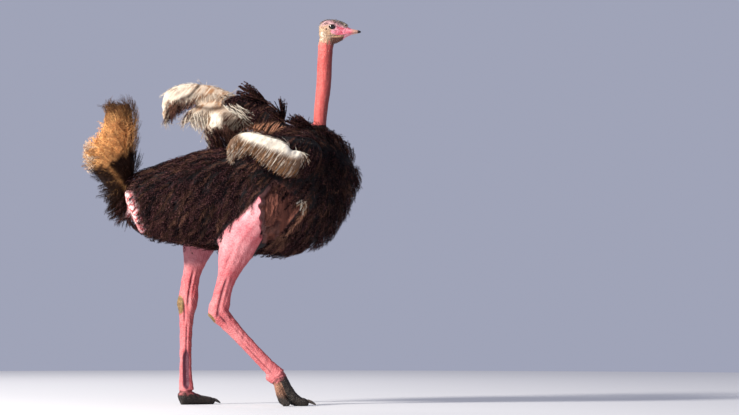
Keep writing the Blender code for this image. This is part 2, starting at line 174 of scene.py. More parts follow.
def object_from(name, points, triangles, smooth=True):
    """A mesh object from arrays."""
    mesh = bpy.data.meshes.new(name)
    mesh.vertices.add(len(points))
    mesh.vertices.foreach_set("co", np.asarray(points, np.float32).ravel())
    mesh.loops.add(len(triangles) * 3)
    mesh.loops.foreach_set("vertex_index", np.asarray(triangles, np.int32).ravel())
    mesh.polygons.add(len(triangles))
    mesh.polygons.foreach_set("loop_start", np.arange(0, len(triangles) * 3, 3, dtype=np.int32))
    mesh.polygons.foreach_set("use_smooth", np.full(len(triangles), smooth))
    mesh.update(calc_edges=True)
    return linked(name, mesh)


def settle(obj):
    """Swaps the mesh for what the modifiers make of it."""
    graph = bpy.context.evaluated_depsgraph_get()
    mesh = bpy.data.meshes.new_from_object(obj.evaluated_get(graph))
    obj.modifiers.clear()
    obj.data = mesh
    mesh.polygons.foreach_set("use_smooth", np.full(len(mesh.polygons), True))
    return obj


# %% Even skins, cuts and joins
def fused(name, parts, cell, rounds):
    """Overlapping closed meshes as one even skin: voxels of one cell size, then smoothed."""
    obj = object_from(name, *joined(parts))
    cells = obj.modifiers.new("cells", "REMESH")
    cells.mode = "VOXEL"
    cells.voxel_size = cell
    relax = obj.modifiers.new("relax", "SMOOTH")
    relax.factor = 0.5
    relax.iterations = rounds
    return settle(obj)


def combined(obj, other, operation):
    """One closed mesh from two, and the second is used up."""
    step = obj.modifiers.new(operation, "BOOLEAN")
    step.operation = operation
    step.object = other
    step.solver = "MANIFOLD"
    settle(obj)
    bpy.data.objects.remove(other)
    return obj


# %% Numbers and moves for each vertex
def mark(obj, **layers):
    """Keeps numbers for each vertex, under a layer's name."""
    for name, values in layers.items():
        layer = obj.data.attributes.get(name) or obj.data.attributes.new(name, "FLOAT", "POINT")
        layer.data.foreach_set("value", np.broadcast_to(values, len(obj.data.vertices)).astype(np.float32))


def retouched(obj, **more):
    """Adds to an object's numbers at each vertex, for markings that cut across the plumes."""
    for name, extra in more.items():
        values = np.zeros(len(obj.data.vertices), np.float32)
        obj.data.attributes[name].data.foreach_get("value", values)
        mark(obj, **{name: np.clip(values + extra, 0, 1)})


def move(obj, offsets):
    """Moves each vertex along its normal."""
    put(obj.data, points_of(obj.data) + normals_of(obj.data) * np.asarray(offsets)[:, None])


def drawn_in(name, form, offsets, cell, rounds):
    """A copy of a form with its vertices moved along their normals, made even again."""
    inner = form.copy()
    inner.data = form.data.copy()
    bpy.context.scene.collection.objects.link(inner)
    move(inner, offsets)
    made = fused(name, [(points_of(inner.data), triangles_of(inner.data))], cell, rounds)
    bpy.data.objects.remove(inner)
    return made


def grown(parts, amount):
    """Points pushed outwards by an amount, so that neighbours overlap."""
    probe = object_from("probe", *parts)
    weld = probe.modifiers.new("weld", "WELD")
    weld.merge_threshold = 0.0001
    settle(probe)
    points = points_of(probe.data) + normals_of(probe.data) * amount
    triangles = triangles_of(probe.data)
    bpy.data.objects.remove(probe)
    return points, triangles


# %% What every piece is told
def finished(obj, material, slot, *nodes):
    """Every piece rides on the one body, has a finish and may stand for some solids."""
    obj.data.materials.clear()
    obj.data.materials.append(material)
    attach(obj, "root")
    if nodes:
        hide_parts(*nodes)
    print(f"{obj.name}: {len(obj.data.polygons)} faces")
    return obj

# %% [markdown]
# ## A short way to write a finish
#
# A finish is a small net of shader nodes. Written out node by node it is hard to read, so a wire
# knows how to be added, taken away and multiplied, and each sum adds its own Math node. Whatever
# else a finish needs comes from one method, which sets the node first and then feeds its sockets.


# %% Wires and finishes
class Wire:
    """A value on an output socket. Sums with it add Math nodes."""

    def __init__(self, finish, socket):
        self.finish = finish
        self.socket = socket

    def _math(self, operation, first, second):
        return self.finish.node("ShaderNodeMath", {"operation": operation}, {0: first, 1: second})

    def __add__(self, other):
        return self._math("ADD", self, other)

    __radd__ = __add__

    def __sub__(self, other):
        return self._math("SUBTRACT", self, other)

    def __rsub__(self, other):
        return self._math("SUBTRACT", other, self)

    def __mul__(self, other):
        return self._math("MULTIPLY", self, other)

    __rmul__ = __mul__

    def __pow__(self, other):
        return self._math("POWER", self, other)

    def above(self, low, high):
        """0 where the value is below low, 1 above high."""
        ends = {"From Min": low, "From Max": high}
        return self.finish.node("ShaderNodeMapRange", {"clamp": True}, {"Value": self, **ends})


class Finish:
    """A material in the making."""

    def __init__(self, name, **constants):
        self.material = bpy.data.materials.new(name)
        self.material.use_nodes = True
        self.tree = self.material.node_tree
        self.shader = self.tree.nodes["Principled BSDF"]
        for socket, value in constants.items():
            self.shader.inputs[socket.replace("_", " ")].default_value = value

    def feed(self, socket, value):
        """A wire is linked, and anything else is set on the socket."""
        if isinstance(value, Wire):
            self.tree.links.new(value.socket, socket)
        else:
            socket.default_value = value

    def node(self, kind, settings=None, inputs=None, output=0):
        """Any node: its settings first, then what its sockets get."""
        made = self.tree.nodes.new(kind)
        for setting, value in (settings or {}).items():
            setattr(made, setting, value)
        for socket, value in (inputs or {}).items():
            self.feed(made.inputs[socket], value)
        return Wire(self, made.outputs[output])

    def layer(self, name):
        """A number kept on the vertices."""
        return self.node("ShaderNodeAttribute", {"attribute_name": name}, output="Fac")

    def mottle(self, scale, detail=3.0, stretch=(1, 1, 1)):
        """Cloudy noise in the bird's own space."""
        where = self.node("ShaderNodeTexCoord", output="Object")
        moved = self.node("ShaderNodeMapping", {}, {"Vector": where, "Scale": stretch})
        return self.node("ShaderNodeTexNoise", {}, {"Vector": moved, "Scale": scale, "Detail": detail})

    def cells(self, scale):
        """Distances in a random cell pattern, for scales and pores."""
        where = self.node("ShaderNodeTexCoord", output="Object")
        return self.node("ShaderNodeTexVoronoi", {}, {"Vector": where, "Scale": scale}, "Distance")

    def mix(self, share, first, second):
        """A colour between two others."""
        settings = {"data_type": "RGBA"}
        return self.node("ShaderNodeMix", settings, {0: share, 6: first, 7: second}, 2)

    def give(self, **values):
        """Feeds the shader's own sockets."""
        for socket, value in values.items():
            self.feed(self.shader.inputs[socket.replace("_", " ")], value)
        return self.material

    def relief(self, height, strength, distance):
        """Fine ups and downs that only bend the light."""
        inputs = {"Height": height, "Strength": strength, "Distance": distance}
        self.give(Normal=self.node("ShaderNodeBump", {}, inputs))


def tint(red, green, blue):
    """A colour for a socket."""
    return (red, green, blue, 1.0)


# %% [markdown]
# ## The bare skin of the legs
#
# A grown male's legs and neck are bare and flush pink in the breeding season. The solids of a leg
# are swelled a little so that they overlap, fused into one even skin and smoothed, most on the
# broad flesh of the thigh. The neck has to be smoother still, so a tube is drawn round its solids:
# rays from outside find their surface, and only the slow changes round the tube are kept, which
# leaves no facets.

# %% A smooth tube round a solid
AROUND = 64


def spine_of(points, start, end, degree=3):
    """A smooth line up the middle of a long solid, as a function of the share along it."""
    chord = end - start
    share = (points - start) @ chord / (chord @ chord)
    slabs = np.linspace(0.04, 0.96, 13)
    middles = [points[np.abs(share - slab) < 0.07].mean(0) for slab in slabs]
    fit = np.polyfit(slabs, np.array(middles), degree)
    return lambda t: np.stack([np.polyval(column, t) for column in fit.T], -1)


def spread(points, triangles, count, seed):
    """Random places spread evenly over a surface, with the triangle of each."""
    rng = np.random.default_rng(seed)
    a, b, c = (points[triangles[:, corner]] for corner in range(3))
    area = np.linalg.norm(np.cross(b - a, c - a), axis=1)
    chosen = rng.choice(len(triangles), count, p=area / area.sum())
    u, v = rng.random((2, count, 1))
    folded = (u + v) > 1
    u, v = np.where(folded, 1 - u, u), np.where(folded, 1 - v, v)
    return a[chosen] + u * (b - a)[chosen] + v * (c - a)[chosen], chosen, area.sum()


def tube_round(names, start, end, rings, harmonics=7, past=0.02, blur=2.0, front=(1, 0, 0)):
    """A closed smooth tube that follows some solids from start to end."""
    tree = tree_of(*names)
    line = spine_of(spread(*solid(*names), 9000, 3)[0], np.array(start), np.array(end))
    shares = np.linspace(-past, 1 + past, rings)
    centres = line(shares)
    along = unit(np.gradient(centres, axis=0))
    ahead = unit(np.array(front) - along * (along @ np.array(front))[:, None])
    aside = np.cross(along, ahead)
    angles = np.linspace(0, 2 * math.pi, AROUND, endpoint=False)
    rays = ahead[:, None] * np.cos(angles)[:, None] + aside[:, None] * np.sin(angles)[:, None]
    reach = 0.35
    radii = np.full((rings, AROUND), np.nan)
    for ring in range(rings):
        if 0.015 < shares[ring] < 0.985:
            for step, ray in enumerate(rays[ring]):
                hit = tree.ray_cast(Vector(centres[ring] + ray * reach), Vector(-ray), reach)
                radii[ring, step] = reach - hit[3] if hit[0] is not None else np.nan
    waves = np.fft.rfft(filled(radii), axis=1)
    waves[:, harmonics:] = 0
    radii = blurred(np.fft.irfft(waves, AROUND, axis=1), blur)
    shell = centres[:, None] + rays * radii[:, :, None]
    vertices = np.concatenate([shell.reshape(-1, 3), centres[[0, -1]]])
    return vertices, tube_faces(rings, AROUND)


def filled(radii):
    """Rays that missed take the radius of the nearest ring that has one."""
    for column in radii.T:
        known = np.flatnonzero(~np.isnan(column))
        column[:] = np.interp(np.arange(len(column)), known, column[known])
    return radii


def blurred(rows, width):
    """A Gaussian blur from ring to ring."""
    reach = int(width * 3) + 1
    kernel = np.exp(-0.5 * (np.arange(-reach, reach + 1) / width) ** 2)
    padded = np.pad(rows, ((reach, reach), (0, 0)), mode="edge")
    columns = [np.convolve(column, kernel / kernel.sum(), "valid") for column in padded.T]
    return np.array(columns).T


def tube_faces(rings, around):
    """Triangles of a tube whose last two vertices close its ends."""
    ring, step = np.meshgrid(np.arange(rings - 1), np.arange(around), indexing="ij")
    here = (ring * around + step).ravel()
    beside = (ring * around + (step + 1) % around).ravel()
    walls = [np.stack([here, beside, beside + around], 1),
             np.stack([here, beside + around, here + around], 1)]
    first = np.arange(around)
    low = np.stack([np.full(around, rings * around), (first + 1) % around, first], 1)
    top = first + (rings - 1) * around
    high = np.stack([np.full(around, rings * around + 1), top, (first + 1) % around + top[0]], 1)
    return np.concatenate(walls + [low, high])


def ends_of(node, axis=2, depth=0.08):
    """The middles of a solid's two ends along an axis."""
    points, _ = solid(node)
    share = (points[:, axis] - BOXES[node][0][axis]) / np.ptp(points[:, axis])
    return points[share < depth].mean(0), points[share > 1 - depth].mean(0)


# %% Both legs as one skin each
LEG_CELL = 0.003
KNUCKLE_RADIUS = 0.027
LEG_BONES = ("thigh", "shank", "tarsus", "toe_inner", "toe_outer")


def ball(centre, radius, around=48, rings=25):
    """A closed sphere as points and triangles, its poles on the bird's sideways axis."""
    angles = np.linspace(0, 2 * math.pi, around, endpoint=False)
    heights = np.linspace(0, math.pi, rings + 2)[1:-1]
    circle = np.stack([np.cos(angles), np.zeros(around), np.sin(angles)], 1)
    rows = [circle * math.sin(h) + (0, math.cos(h), 0) for h in heights]
    points = np.concatenate(rows + [[(0, 1, 0), (0, -1, 0)]]) * radius + centre
    return points, tube_faces(rings, around)


def smoothed(obj, weights, rounds):
    """More smoothing where the weights say so."""
    group = obj.vertex_groups.new(name="relax")
    for level in range(1, 11):
        chosen = np.flatnonzero(np.round(weights * 10) == level)
        group.add(chosen.tolist(), level / 10, "REPLACE")
    relax = obj.modifiers.new("relax", "SMOOTH")
    relax.factor = 0.5
    relax.iterations = rounds
    relax.vertex_group = "relax"
    settle(obj)
    obj.vertex_groups.clear()


# %% A bone seen from the side
def bone_view(node, points):
    """Share along a long bone from below, and how far each point is ahead of its middle line."""
    cloud = spread(*solid(node), 6000, 3)[0]
    bottom, top = ends_of(node, depth=0.04)
    line = spine_of(cloud, bottom, top)
    chord = top - bottom
    share = (points - bottom) @ chord / (chord @ chord)
    along = unit(chord)
    ahead = unit(np.array([1.0, 0, 0]) - along[0] * along)
    return share, (points - line(np.clip(share, 0, 1))) @ ahead


def window(share, start, end, soft=0.08):
    """1 between two shares along a bone, fading past both."""
    return ramp(share, start - soft, start + soft) * (1 - ramp(share, end - soft, end + soft))


def groove(ahead, middle, width):
    """A furrow along a bone, at a distance ahead of its middle line."""
    return np.exp(-(((ahead - middle) / width) ** 2))


# %% Furrows between the tendons
# Furrows between the tendons of each leg: bone, where it starts and ends, how far ahead of the
# middle it runs, its width and its depth. The planted leg is stretched, so its furrows are deep.
FURROWS = {
    "left": [("tarsus", 0.03, 0.44, 0.002, 0.0165, 0.0125), ("tarsus", 0.44, 0.74, 0.004, 0.0050, 0.0040),
             ("tarsus", 0.80, 1.04, -0.010, 0.0060, 0.0045), ("shank", 0.00, 0.34, 0.006, 0.0075, 0.0075),
             ("shank", 0.10, 0.40, 0.030, 0.0060, 0.0025)],
    "right": [("tarsus", 0.06, 0.55, -0.013, 0.0045, 0.0040), ("tarsus", 0.45, 0.90, 0.012, 0.0060, 0.0022),
              ("tarsus", 0.86, 1.00, -0.004, 0.0060, 0.0050), ("shank", -0.04, 0.36, 0.002, 0.0085, 0.0085),
              ("shank", 0.06, 0.40, 0.030, 0.0070, 0.0030), ("shank", 0.30, 0.62, -0.030, 0.0110, 0.0035)],
}


def furrows(points, normals, side, views):
    """How deep the furrows of a leg are at each point."""
    side_on = ramp(np.abs(normals[:, 1]), 0.25, 0.65)
    depth = np.zeros(len(points))
    for bone, start, end, middle, width, deep in FURROWS[side]:
        share, ahead = views[bone]
        depth += deep * groove(ahead, middle, width) * window(share, start, end, 0.06) * side_on
    return depth


# %% Toes, ankle and tendons of each leg
def tendons(obj, side):
    """Furrows between tendons, knobs at the ankle and loose folds where the knuckle bends."""
    points, normals = points_of(obj.data), normals_of(obj.data)
    views = {bone: bone_view(f"{bone}_{side}", points) for bone in ("tarsus", "shank")}
    side_on = ramp(np.abs(normals[:, 1]), 0.25, 0.65)
    shift = -furrows(points, normals, side, views)
    share, ahead = views["tarsus"]
    bend = window(share, 0.93, 1.05, 0.05)
    shift += 0.0065 * bend * groove(ahead, 0.032, 0.016) + 0.0030 * bend * groove(ahead, -0.020, 0.012)
    shift += 0.0035 * window(share, -0.02, 0.05, 0.03) * side_on * groove(ahead, 0.0, 0.022)
    folds = np.sin(share * 150 + ripples(points, 0.05, 9)) > 0.55
    shift -= 0.0016 * folds * window(share, -0.04, 0.05, 0.02)
    lumps = ripples(points * (1, 1, 0.6), 0.030, 8) * 0.0006 + ripples(points, 0.011, 10) * 0.00035
    low = 1 - ramp(views["shank"][0], 0.5, 0.9)
    move(obj, shift + lumps * (0.35 + 0.65 * low))


def leg_skin(side):
    """Thigh, shank, tarsus and toes of one leg, fused. The broad flesh is smoothed most."""
    parts = [grown(solid(f"{bone}_{side}"), 0.0006) for bone in LEG_BONES]
    bottom, top = ends_of(f"tarsus_{side}", depth=0.03)
    ankle = bottom + (top - bottom) * 0.06
    for toe, size in (("toe_inner", 1.0), ("toe_outer", 0.62)):
        root = ends_of(f"{toe}_{side}", depth=0.15)[1]
        for step in np.linspace(0, 1, 6):
            radius = KNUCKLE_RADIUS * (1 + (size - 1) * step)
            parts.append(ball(ankle + (root - ankle) * step, radius, 32, 17))
    obj = fused(f"leg_{side}", parts, LEG_CELL, rounds=12)
    heights = points_of(obj.data)[:, 2]
    low, high = (place(f"shank_{side}", 0, 0, share)[2] for share in (0.2, 0.6))
    smoothed(obj, ramp(heights, low, high), 80)
    tendons(obj, side)
    return obj


LEGS = {side: leg_skin(side) for side in ("left", "right")}
print("leg faces:", [len(leg.data.polygons) for leg in LEGS.values()])

# %% [markdown]
# ## Head and neck
#
# The head is small and flat-crowned, with a huge eye. Its lids are modelled as they work: a ball
# of skin just larger than the eyeball is fused with the head, hollowed by the eyeball's own sphere
# and then opened by an almond-shaped cut, so that the lids have a real edge and the eye sits
# behind them. The neck is one long smooth tube.

# %% Balls, rims and prisms for the lids
LID = 0.0021
OPENING = (0.0178, 0.0122)
OPENING_TILT = math.radians(-9)


def almond(scale=1.0, count=56):
    """The outline of the eye opening as seen from the side, from corner to corner and back."""
    turn = np.linspace(0, 2 * math.pi, count, endpoint=False)
    wide = OPENING[0] * scale * np.cos(turn)
    high = OPENING[1] * scale * np.sin(turn) * np.abs(np.sin(turn)) ** 0.3
    forward = wide * math.cos(OPENING_TILT) - high * math.sin(OPENING_TILT)
    upward = wide * math.sin(OPENING_TILT) + high * math.cos(OPENING_TILT)
    return forward, upward


def ring_of(path, radius, around=10):
    """A closed tube along a closed path."""
    along = unit(np.roll(path, -1, 0) - np.roll(path, 1, 0))
    outward = unit(path - path.mean(0))
    aside = unit(np.cross(along, outward))
    outward = np.cross(aside, along)
    angles = np.linspace(0, 2 * math.pi, around, endpoint=False)
    rays = outward[:, None] * np.cos(angles)[:, None] + aside[:, None] * np.sin(angles)[:, None]
    points = (path[:, None] + rays * radius).reshape(-1, 3)
    here = np.arange(len(points))
    beside = here - here % around + (here + 1) % around
    faces = [np.stack([here, beside, beside + around], 1),
             np.stack([here, beside + around, here + around], 1)]
    return points, np.concatenate(faces) % len(points)


def lid_rim(side, sign):
    """The thick edge of both lids."""
    forward, upward = almond(1.12)
    bulge = EYE_RADIUS + LID * 0.6
    outward = np.sqrt(bulge**2 - forward**2 - upward**2) * sign
    return ring_of(EYE[side] + np.stack([forward, outward, upward], 1), 0.0021)


def opening(side, sign):
    """The almond prism that opens the lids, wider towards the outside."""
    forward, upward = almond()
    rows = [EYE[side] + np.stack([forward * f, np.full(len(forward), y * sign), upward * f], 1)
            for f, y in ((0.5, 0.0), (1.0, 0.014), (1.25, 0.05))]
    points = np.concatenate(rows + [[EYE[side], EYE[side] + (0, 0.05 * sign, 0)]])
    faces = tube_faces(3, len(forward))
    return points, faces if sign < 0 else faces[:, ::-1]


# %% One skin for head and neck
# The ear lies behind the eye and a little lower.
EAR = (-0.031, -0.014)
HEAD_CELL = 0.0018
NECK_NODES = ("neck_lower", "neck_middle", "neck_upper")


def head_and_neck():
    """Head, lids and neck fused, then the eyes are opened."""
    foot, crown = ends_of("neck_lower")[0], ends_of("neck_upper")[1]
    neck = tube_round(NECK_NODES, foot, crown, rings=300, harmonics=5, past=0.012, blur=5.0)
    lids = [ball(EYE[side], EYE_RADIUS + LID) for side in EYE]
    rims = [lid_rim("left", 1), lid_rim("right", -1)]
    skull = grown(solid("head"), 0.0004)
    obj = fused("head_and_neck", [neck, skull] + lids + rims, HEAD_CELL, rounds=7)
    shape_face(obj)
    for side, sign in (("left", 1), ("right", -1)):
        combined(obj, object_from("eyeball_room", *ball(EYE[side], EYE_RADIUS + 0.0003)), "DIFFERENCE")
        combined(obj, object_from("opening", *opening(side, sign)), "DIFFERENCE")
    return obj


def near_line(points, start, end):
    """How far each point is from a stretch of line, seen from the side."""
    flat, a, b = points[:, [0, 2]], np.array(start), np.array(end)
    share = np.clip((flat - a) @ (b - a) / ((b - a) @ (b - a)), 0, 1)
    return np.linalg.norm(flat - a - share[:, None] * (b - a), axis=1)


def shape_face(obj):
    """Ear, gape, brow and folds, all placed from the eye."""
    points = points_of(obj.data)
    flat_eye = EYE["right"][[0, 2]]
    from_eye = points[:, [0, 2]] - flat_eye
    side_on = ramp(np.abs(normals_of(obj.data)[:, 1]), 0.35, 0.75)
    ear = np.linalg.norm(from_eye - EAR, axis=1)
    gape = near_line(points, flat_eye + (0.004, -0.043), flat_eye + (0.092, -0.033))
    brow = np.abs(np.linalg.norm(from_eye / (1.25, 1.0), axis=1) - 0.0245)
    above = ramp(from_eye[:, 1], 0.004, 0.014)
    shift = -0.0035 * np.exp(-((ear / 0.0042) ** 2)) + 0.0010 * np.exp(-(((ear - 0.0075) / 0.003) ** 2))
    shift -= 0.0016 * np.exp(-((gape / 0.0022) ** 2))
    shift += 0.0012 * np.exp(-((brow / 0.004) ** 2)) * above
    on_head = ramp(points[:, 2], flat_eye[1] - 0.10, flat_eye[1] - 0.05)
    folds = ripples(points * (1, 1, 0.2), 0.02, 5) * 0.00035
    rings = ripples(points * (0.35, 0.35, 1), 0.013, 7) * 0.0002
    move(obj, shift * side_on * on_head + (folds + rings) * (1 - on_head * 0.6))


HEAD = head_and_neck()
print("head and neck faces:", len(HEAD.data.polygons))

# %% [markdown]
# ## The body under the plumes
#
# A bird's body is much smaller than its outline. The core here is the body solids drawn in by the
# depth of the coat, which leaves room for the plumes between the skin and the solids' surface.
# Where the bird is bare, at the flank in front of each thigh and in a strip under the tail, the
# skin comes nearer.

# %% The outer form
BARE_NODES = ("thigh_left", "thigh_right", "shank_left", "shank_right", "neck_lower")
BODY_NODES = ("trunk", "breast", "wing_arm_left", "wing_arm_right") + BARE_NODES
HEAD_NODES = ("neck_middle", "neck_upper", "head")
COAT_DEPTH = 0.034
ARM_DEPTH = 0.014
BARE_DEPTH = 0.007
BODY_CELL = 0.012
FORM = fused("form", [grown(solid(node), 0.001) for node in BODY_NODES], BODY_CELL, rounds=6)
TREES = {node: tree_of(node) for node in BODY_NODES + HEAD_NODES + ("toe_outer_left", "toe_outer_right")}


# The raised arm of the far wing slopes down to the shoulder under its plumes.
ARM_EDGE = [from_side("wing_arm_left", x, z) for x, z in (
    (0.30, 1.02), (0.45, 0.95), (0.62, 0.79), (0.70, 0.66), (0.74, 0.54), (0.77, 0.46), (1, 0.43))]


def sloped(obj):
    """Lowers the far arm to its edge."""
    points = points_of(obj.data)
    highest = np.interp(points[:, 0], *np.array(ARM_EDGE).T)
    raised = (points[:, 1] > 0.13) & (points[:, 0] > ARM_EDGE[0][0])
    points[:, 2] = np.where(raised, np.minimum(points[:, 2], highest), points[:, 2])
    put(obj.data, points)


sloped(FORM)
print("outer form faces:", len(FORM.data.polygons))


# %% How near the solids are
def distance_to(node, points):
    """How far each point is from a solid's surface."""
    find = TREES[node].find_nearest
    return np.array([find(Vector(point))[3] for point in points])


def on_arm(points):
    """1 on the upper arm of a wing, 0 on the body."""
    nearest = np.minimum(distance_to("wing_arm_left", points), distance_to("wing_arm_right", points))
    body = np.minimum(distance_to("trunk", points), distance_to("breast", points))
    return ramp(body - nearest, -0.01, 0.02)


# %% The bare flank
# The outline of the bare flank in front of the right thigh, from the top of the thigh round the front.
FLANK = [from_side("trunk", x, z) for x, z in (
    (0.757, 0.465), (0.840, 0.598), (0.960, 0.484), (0.996, 0.393),
    (0.948, 0.303), (0.842, 0.100), (0.800, 0.070), (0.768, 0.120))]
THIGH_STEP = (BOXES["thigh_right"][0] - BOXES["thigh_left"][0])[0]


def inside(outline, flat):
    """Which points lie in an outline, by counting the edges to their right."""
    crossed = np.zeros(len(flat), int)
    for (x0, z0), (x1, z1) in zip(outline, outline[1:] + outline[:1]):
        spans = (z0 > flat[:, 1]) != (z1 > flat[:, 1])
        edge = x0 + (flat[:, 1] - z0) * (x1 - x0) / (z1 - z0 + 1e-12)
        crossed += spans & (flat[:, 0] < edge)
    return crossed % 2 == 1


FLANK_MIDDLE = np.mean(FLANK, axis=0)[0]
print("left thigh set back by:", round(float(THIGH_STEP), 3))


def flank_depth(points):
    """How far inside the bare flank each point is. The left thigh is set back, and its flank with it."""
    depth = np.zeros(len(points))
    wavy = points + ripples(points, 0.05, 16)[:, None] * (0.005, 0, 0.005)
    behind = [corner - (THIGH_STEP * (corner[0] < FLANK_MIDDLE), 0) for corner in FLANK]
    for outline, sign in ((FLANK, -1), (behind, 1)):
        within = inside(outline, wavy[:, [0, 2]]) & (points[:, 1] * sign > 0.1)
        edges = zip(outline, outline[1:] + outline[:1])
        reach = np.min([near_line(wavy[within], *edge) for edge in edges], axis=0)
        depth[within] = reach
    return depth


def bare_flank(points):
    """True on the bare flank of each side."""
    return flank_depth(points) > 0


# %% The vent and the edge of the plumes on the thighs
VENT = (from_side("trunk", 0.035, 0.50), from_side("trunk", 0.115, 0.17))


def vent(points, width):
    """1 in the bare strip under the tail, fading to its edges."""
    return np.exp(-((near_line(points, *VENT) / width) ** 2))


def under_plumes(points, bare=True):
    """1 on the part of each thigh that the body plumes hang over: above and behind a slanting edge. The
    bare flank is left out, unless bare is off."""
    hidden = np.zeros(len(points))
    for side, sign in (("right", -1), ("left", 1)):
        a, b = (from_side(f"thigh_{side}", x, z) for x, z in ((0.445, 0.627), (-0.287, -0.114)))
        edge = b - a
        past = ((points[:, 0] - a[0]) * edge[1] - (points[:, 2] - a[1]) * edge[0]) / np.linalg.norm(edge)
        above = np.maximum(ramp(past, 0.0, 0.012), ramp(points[:, 2] - a[1], 0.0, 0.012))
        hidden = np.maximum(hidden, above * (points[:, 2] > b[1]) * (points[:, 1] * sign > 0))
    return hidden * ~(bare_flank(points) & bare) * (points[:, 2] < BOXES["trunk"][1][2])


# %% The core, joined with legs and head
def body_core():
    """The outer form drawn in by the coat's depth."""
    points = points_of(FORM.data)
    depth = COAT_DEPTH + (ARM_DEPTH - COAT_DEPTH) * on_arm(points)
    depth = np.where(bare_flank(points), 0.020, depth) * (1 - 0.85 * vent(points, 0.022))
    bare = np.min([distance_to(node, points) for node in BARE_NODES], axis=0)
    depth = BARE_DEPTH + (depth - BARE_DEPTH) * ramp(bare, 0.006, 0.06)
    return drawn_in("body_core", FORM, -depth, BODY_CELL, rounds=5)


SKIN = body_core()
for piece in (LEGS["left"], LEGS["right"], HEAD):
    combined(SKIN, piece, "UNION")
SKIN.name = "skin"


# %% The hollow of the flank
def hollow_flank(obj):
    """Sinks the bare flank between thigh and breast, and pleats its skin from top to bottom."""
    points = points_of(obj.data)
    inward = flank_depth(points)
    pleats = ripples(points * (1, 1, 0.22), 0.030, 12) * 0.0035
    pleats += ripples(points * (1, 1, 0.3), 0.012, 14) * 0.0012
    move(obj, -0.030 * ramp(inward, 0, 0.022) + pleats * ramp(inward, 0.004, 0.02))
    points = points_of(obj.data)
    points[:, 2] = np.maximum(points[:, 2], 0)
    put(obj.data, points)


hollow_flank(SKIN)
print("skin faces:", len(SKIN.data.polygons))

# %% [markdown]
# ## How a plume is made
#
# An ostrich plume has no hooks between its barbs, so it never closes into a smooth vane: each barb
# is a loose soft strand. A plume here is a flat quill with two rows of tapering strands: from some
# seventy triangles on the body to over two hundred in the tail, and fewer in hairs and lashes. A
# few of each kind are drawn once, and then thousands of copies are turned, scaled and bent in bulk
# with arrays, which is far quicker than objects.


# %% One plume
def plume(seed, barbs, aspect, sweep, curl, steps=2, blade=0.016, quill=0.012, bare=0.06, loose=0.3):
    """A plume one unit long that points along +X, its face to +Z. The aspect is half its width."""
    rng = np.random.default_rng(seed)
    points, faces, tips = [], [], []

    def strand(nodes, across, widths, shares):
        first = sum(len(rows) for rows in points)
        rows = [node + across * width * sign for node, width in zip(nodes[:-1], widths) for sign in (-1, 1)]
        points.append(np.array(rows + [nodes[-1]]))
        tips.append(np.repeat(shares, [2] * (len(nodes) - 1) + [1]))
        for step in range(len(nodes) - 2):
            corner = first + 2 * step
            faces.extend([(corner, corner + 2, corner + 1), (corner + 1, corner + 2, corner + 3)])
        last = first + 2 * (len(nodes) - 2)
        faces.append((last, last + 2, last + 1))

    length = np.linspace(0, 1, 4)
    spine = np.stack([length * 0.97, length * 0, length * 0], 1)
    strand(spine, np.array([0, 1, 0]), quill * (1 - 0.7 * length), length * 0.6)
    for side in (-1, 1):
        for start in np.linspace(bare, 0.97, barbs):
            start = min(max(start + rng.normal(0, 0.4 / barbs), bare), 0.98)
            fullness = (0.55 + 0.45 * math.sin(math.pi * min(1, 0.25 + start * 0.9))) * rng.uniform(0.75, 1.2)
            reach = aspect * fullness
            angle = math.radians(sweep) * (1.15 - 0.55 * start) + rng.normal(0, 0.08)
            nodes = [np.array([start, 0, 0])]
            for step in range(steps):
                bent = angle * (1 - 0.45 * (step + 0.5) / steps)
                rise = rng.normal(0, loose) * 0.5 + curl * (step + 0.5) / steps
                way = np.array([math.cos(bent), side * math.sin(bent), rise])
                nodes.append(nodes[-1] + way / np.linalg.norm(way) * reach / steps)
            twist = rng.uniform(-1.1, 1.1)
            flat = np.array([-math.sin(angle) * side, math.cos(angle), 0]) * math.cos(twist)
            across = flat + np.array([0, 0, math.sin(twist)])
            share = np.linspace(0, 1, steps + 1)
            strand(nodes, across, blade * rng.uniform(0.7, 1.2) * (1 - 0.55 * share), 0.35 + 0.65 * share)
    return np.concatenate(points), np.array(faces), np.concatenate(tips)


def plumes(count, **form):
    """Several plumes of one kind."""
    return [plume(seed, **form) for seed in range(count)]


BODY_PLUMES = plumes(6, barbs=12, aspect=0.30, sweep=42, curl=0.10, blade=0.014)
CURLED_PLUMES = plumes(6, barbs=10, aspect=0.34, sweep=48, curl=0.55, steps=3, blade=0.016, loose=0.5)
COVERT_PLUMES = plumes(6, barbs=11, aspect=0.22, sweep=30, curl=0.0, blade=0.016)
TAIL_PLUMES = plumes(8, barbs=22, aspect=0.27, sweep=44, curl=0.10, steps=3, blade=0.008, loose=0.35)
SPIKE_PLUMES = plumes(4, barbs=22, aspect=0.080, sweep=11, curl=0.0, blade=0.034, quill=0.022, loose=0.15)
STRAND_PLUMES = plumes(8, barbs=15, aspect=0.12, sweep=18, curl=-0.05, steps=3, blade=0.011, loose=0.08)
THIN_PLUMES = plumes(4, barbs=3, aspect=0.16, sweep=14, curl=0.0, steps=3, blade=0.009, quill=0.006,
                     loose=0.1)
DOWN_TUFTS = plumes(4, barbs=3, aspect=0.5, sweep=24, curl=0.1, blade=0.05, quill=0.04)
print("triangles in a body plume:", len(BODY_PLUMES[0][1]), "in a tail plume:", len(TAIL_PLUMES[0][1]))

# %% [markdown]
# ## Planting plumes
#
# Roots are spread evenly by throwing darts at the surface and dropping any that lands too near
# another. A plume leans from its root under the surface to a tip at or just past it, along the way
# the coat lies: back and down. Each also gets a small patch on a flat map of the body, round it by
# angle and along it by length, where its colours can be stored.

# %% Roots spread over a surface
PATCH = 0.003


